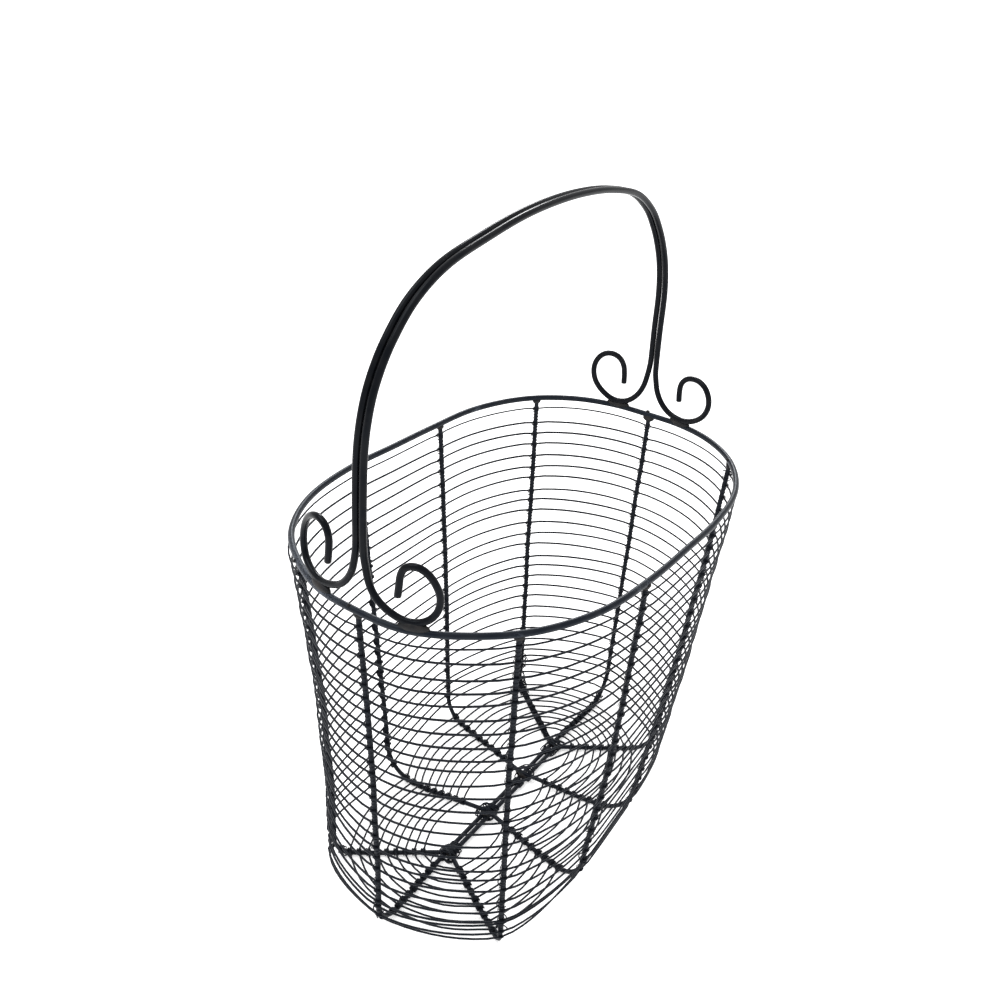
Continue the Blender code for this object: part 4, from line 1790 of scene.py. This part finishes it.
@dataclass
class Welds:
    """The lumps of weld: under the scrolls, at the tops of the ribs and on the spine.

    Sizes are lengths, widths and heights, in millimetres for the ribs, the nibs and the spine.
    Each nib is a place on the rim, the way it points in degrees up from straight out, and its
    size.
    """

    material: bpy.types.Material
    handle: Handle
    lines: dict
    scroll_size: tuple = (20.0 * MM, 6.0 * MM, 6.6 * MM)
    scroll_trim: float = 0.97
    inset: float = 0.6 * MM
    rib_depth: float = 3.2 * MM
    rib_lift: float = 0.2
    usual_size: tuple = (6.8, 4.6, 4.6)
    rib_sizes: dict = field(default_factory=lambda: {
        "right_end": (9.6, 5.4, 6.2), "front_right": (6.4, 5.0, 9.0),
        "cross_left_front": (9.0, 5.0, 5.0)})
    nibs: tuple = ((-0.001, 84.0, (2.4, 3.6, 3.2)), (0.493, 60.0, (2.0, 2.6, 2.0)),
                   (0.4175, 10.0, (2.2, 2.8, 2.6)), (0.7035, -40.0, (2.6, 4.0, 3.0)),
                   (0.879, -215.0, (3.4, 2.4, 2.2)))
    crossed_size: tuple = (7.0, 8.0, 5.6)
    crossed_lift: float = 1.9
    end_size: tuple = (3.6, 5.6, 3.4)
    end_lift: float = 0.2
    scroll_roughness: float = 0.16 * MM
    rib_roughness: float = 0.35 * MM
    nib_roughness: float = 0.2 * MM
    spine_roughness: float = 0.8 * MM

    def build(self) -> None:
        """Make every weld, each with its own unevenness."""
        lumps = [self.under_scroll(end, side) for end in End for side in Side]
        lumps += [self.on_rib(upright) for upright in FORM.uprights]
        lumps += [self.on_rim(index, *nib) for index, nib in enumerate(self.nibs)]
        lumps += [self.on_spine(index) for index in range(len(FORM.junction_shares))]
        for seed, lump in enumerate(lumps, 1):
            lump.build(self.material, seed)

    def under_scroll(self, end: End, side: Side) -> Lump:
        """Place the lump between a scroll and the rim.

        Args:
            end: the scroll's end of the basket.
            side: its side of the basket.

        Returns:
            The lump.
        """
        foot = min(self.handle.scroll(end, side), key=lambda point: point.z)
        turn = FORM.rim_turn_at(foot.y, end)
        out = FORM.outward(turn, 0.0)
        middle = FORM.rim_point(turn) - out * self.inset
        middle.z += (STOCK.rod + STOCK.gap) / 2
        name = f"weld_{end.name.lower()}_{side.name.lower()}"
        return Lump(f"scroll_{name}", middle, Vector(self.scroll_size) * self.scroll_trim,
                    sideways(out), UP, self.scroll_roughness, (f"handle_{name}",))

    def on_rib(self, upright: Upright) -> Lump:
        """Place the lump between the top of an upright and the rim.

        Args:
            upright: which upright.

        Returns:
            The lump.
        """
        top, _ = self.lines[upright.name].at_depth(upright.name, self.rib_depth)
        rim = FORM.rim_point(upright.turn)
        size = Vector(self.rib_sizes.get(upright.name, self.usual_size)) * MM
        middle = top.lerp(Vector((top.x, top.y, rim.z)), self.rib_lift)
        return Lump(f"rib_weld_{upright.name}", middle, size,
                    sideways(FORM.outward(upright.turn, 0.0)), UP, self.rib_roughness)

    def on_rim(self, index: int, turn: float, lift: float, size: tuple) -> Lump:
        """Return one nib.

        Args:
            index: which nib.
            turn: its place round the rim.
            lift: the way it points.
            size: its size.

        Returns:
            The lump.
        """
        out = FORM.outward(turn, 0.0)
        angle = math.radians(lift)
        way = out * math.cos(angle) + Vector((0.0, 0.0, math.sin(angle)))
        return Lump(f"rim_nib_{index + 1}", FORM.rim_point(turn) + way * (STOCK.rod / 2),
                    Vector(size) * MM, way, sideways(out), self.nib_roughness)

    def on_spine(self, index: int) -> Lump:
        """Place the lump on one of the spine's junctions.

        Args:
            index: which junction.

        Returns:
            The lump.
        """
        crossed = index in CROSSED
        size, lift = ((self.crossed_size, self.crossed_lift) if crossed
                      else (self.end_size, self.end_lift))
        place = FORM.spine_point(index, FORM.spine_z)
        place.z += lift * MM
        return Lump(f"spine_weld_{index + 1}", place, Vector(size) * MM, Vector((1.0, 0.0, 0.0)),
                    UP, self.spine_roughness)


# Studio and camera


@dataclass
class Studio:
    """A pale floor, soft light from above and a plain pale surround."""

    floor_half: float = 15.0
    surround: Colour = (1.0, 1.0, 1.0)
    surround_strength: float = 1.0
    lamps: tuple = (("overhead_light", (-0.2, 0.35, 1.0), 45.0, 1.4),
                    ("far_light", (0.75, 0.47, 0.5), 13.0, 0.9))

    def build(self) -> None:
        """Make the floor, the lights and the surround."""
        bpy.context.scene.view_settings.view_transform = "Standard"
        deselect()
        bpy.ops.mesh.primitive_plane_add(size=2 * self.floor_half, location=(0.0, 0.0, 0.0))
        floor = bpy.context.object
        floor.name = "studio_floor"
        floor.data.transform(floor.matrix_world)
        floor.matrix_world.identity()
        floor.data.materials.append(FloorFinish().make())
        world = bpy.data.worlds.new("studio_surround")
        bpy.context.scene.world = world
        world.use_nodes = True
        back = world.node_tree.nodes["Background"]
        back.inputs["Color"].default_value = opaque(self.surround)
        back.inputs["Strength"].default_value = self.surround_strength
        for lamp in self.lamps:
            self.light(*lamp)

    def light(self, name: str, source: tuple, softness: float, strength: float) -> None:
        """Add a soft light that reaches the whole floor evenly.

        Args:
            name: its name.
            source: the direction that it comes from.
            softness: how wide it is, in degrees.
            strength: its strength on a surface that faces it.
        """
        deselect()
        source = Vector(source)
        bpy.ops.object.light_add(type="SUN", location=source * 2.0)
        lamp = bpy.context.object
        lamp.name = name
        lamp.data.angle = math.radians(softness)
        lamp.data.energy = strength
        lamp.rotation_euler = source.to_track_quat("Z", "Y").to_euler()


@dataclass
class PhotoCamera:
    """The camera at the photograph's viewing angle."""

    azimuth: float = -58.127
    elevation: float = 27.973
    roll: float = 3.478
    distance: float = 785.5 * MM
    right_shift: float = -20.5 * MM
    up_shift: float = -4.26 * MM
    focal_pixels: float = 1118.88
    sensor: float = 36.0
    nearest: float = 0.01

    def build(self) -> None:
        """Add the camera and make it the scene's."""
        angles = self.azimuth, self.elevation, self.roll
        turn, lift, roll = (math.radians(angle) for angle in angles)
        back = Vector((math.sin(turn) * math.cos(lift), -math.cos(turn) * math.cos(lift),
                       math.sin(lift)))
        right = Vector((math.cos(turn), math.sin(turn), 0.0))
        up = back.cross(right)
        right, up = (right * math.cos(roll) + up * math.sin(roll),
                     up * math.cos(roll) - right * math.sin(roll))
        place = FORM.rim_place + back * self.distance
        place = place + right * self.right_shift + up * self.up_shift
        deselect()
        bpy.ops.object.camera_add(location=place)
        camera = bpy.context.object
        camera.name = "photo_camera"
        camera.data.sensor_width = self.sensor
        camera.data.lens = self.focal_pixels * self.sensor / IMAGE_SIZE
        camera.data.clip_start = self.nearest
        matrix = camera.matrix_world.copy()
        for row in range(3):
            matrix[row][0], matrix[row][1], matrix[row][2] = right[row], up[row], back[row]
            matrix[row][3] = place[row]
        camera.matrix_world = matrix
        bpy.context.scene.camera = camera


PAINTS = (
    PaintFinish("black_rod_paint", dark=(0.002, 0.0025, 0.004), light=(0.006, 0.006, 0.007),
                worn=(0.030, 0.031, 0.034), smooth=0.13, rough=0.27, worn_from=0.62,
                worn_to=0.72, relief=0.000012, specular=0.09, sheen=(0.82, 0.90, 1.0)),
    PaintFinish("black_rim_paint", light=(0.011, 0.012, 0.014), worn=(0.075, 0.085, 0.105),
                smooth=0.24, rough=0.46, worn_from=0.58, worn_to=0.70, relief=0.00012,
                specular=0.18, sheen=(0.62, 0.78, 1.0), worn_end=(0.135, 0.165)),
    PaintFinish("black_rib_paint", worn=(0.030, 0.032, 0.036), rough=0.56, worn_from=0.62,
                worn_to=0.74, relief=0.00010, grain=1200.0),
    PaintFinish("black_wire_paint", worn=(0.028, 0.030, 0.034), rough=0.54, worn_from=0.64,
                worn_to=0.76, relief=0.00005, grain=1600.0),
    PaintFinish("painted_weld_metal", dark=(0.008, 0.008, 0.008), light=(0.022, 0.019, 0.017),
                worn=(0.042, 0.040, 0.038), smooth=0.38, rough=0.62, worn_from=0.60,
                worn_to=0.72, relief=0.00015, specular=0.16, grain=1100.0))


def main() -> None:
    """Build the basket, the studio and the camera, and report each piece."""
    logging.basicConfig(level=logging.INFO, format="%(name)s: %(message)s")
    rod_paint, rim_paint, rib_paint, wire_paint, weld_paint = (paint.make() for paint in PAINTS)
    PhotoCamera().build()
    Rim(rim_paint).build()
    handle = Handle(rod_paint)
    handle.build()
    ribs = Ribs(rib_paint)
    ribs.build()
    wall, floor = WallWinding(wire_paint, ribs.lines), FloorWinding(wire_paint, ribs.lines)
    wall.build()
    floor.build()
    Bindings(wire_paint, ribs.lines, wall, floor).build()
    SpineTies(wire_paint).build()
    Knots(wire_paint, ribs.lines).build()
    LooseEnds(wire_paint, ribs.lines).build()
    Welds(weld_paint, handle, ribs.lines).build()
    Studio().build()


if __name__ == "__main__":
    main()
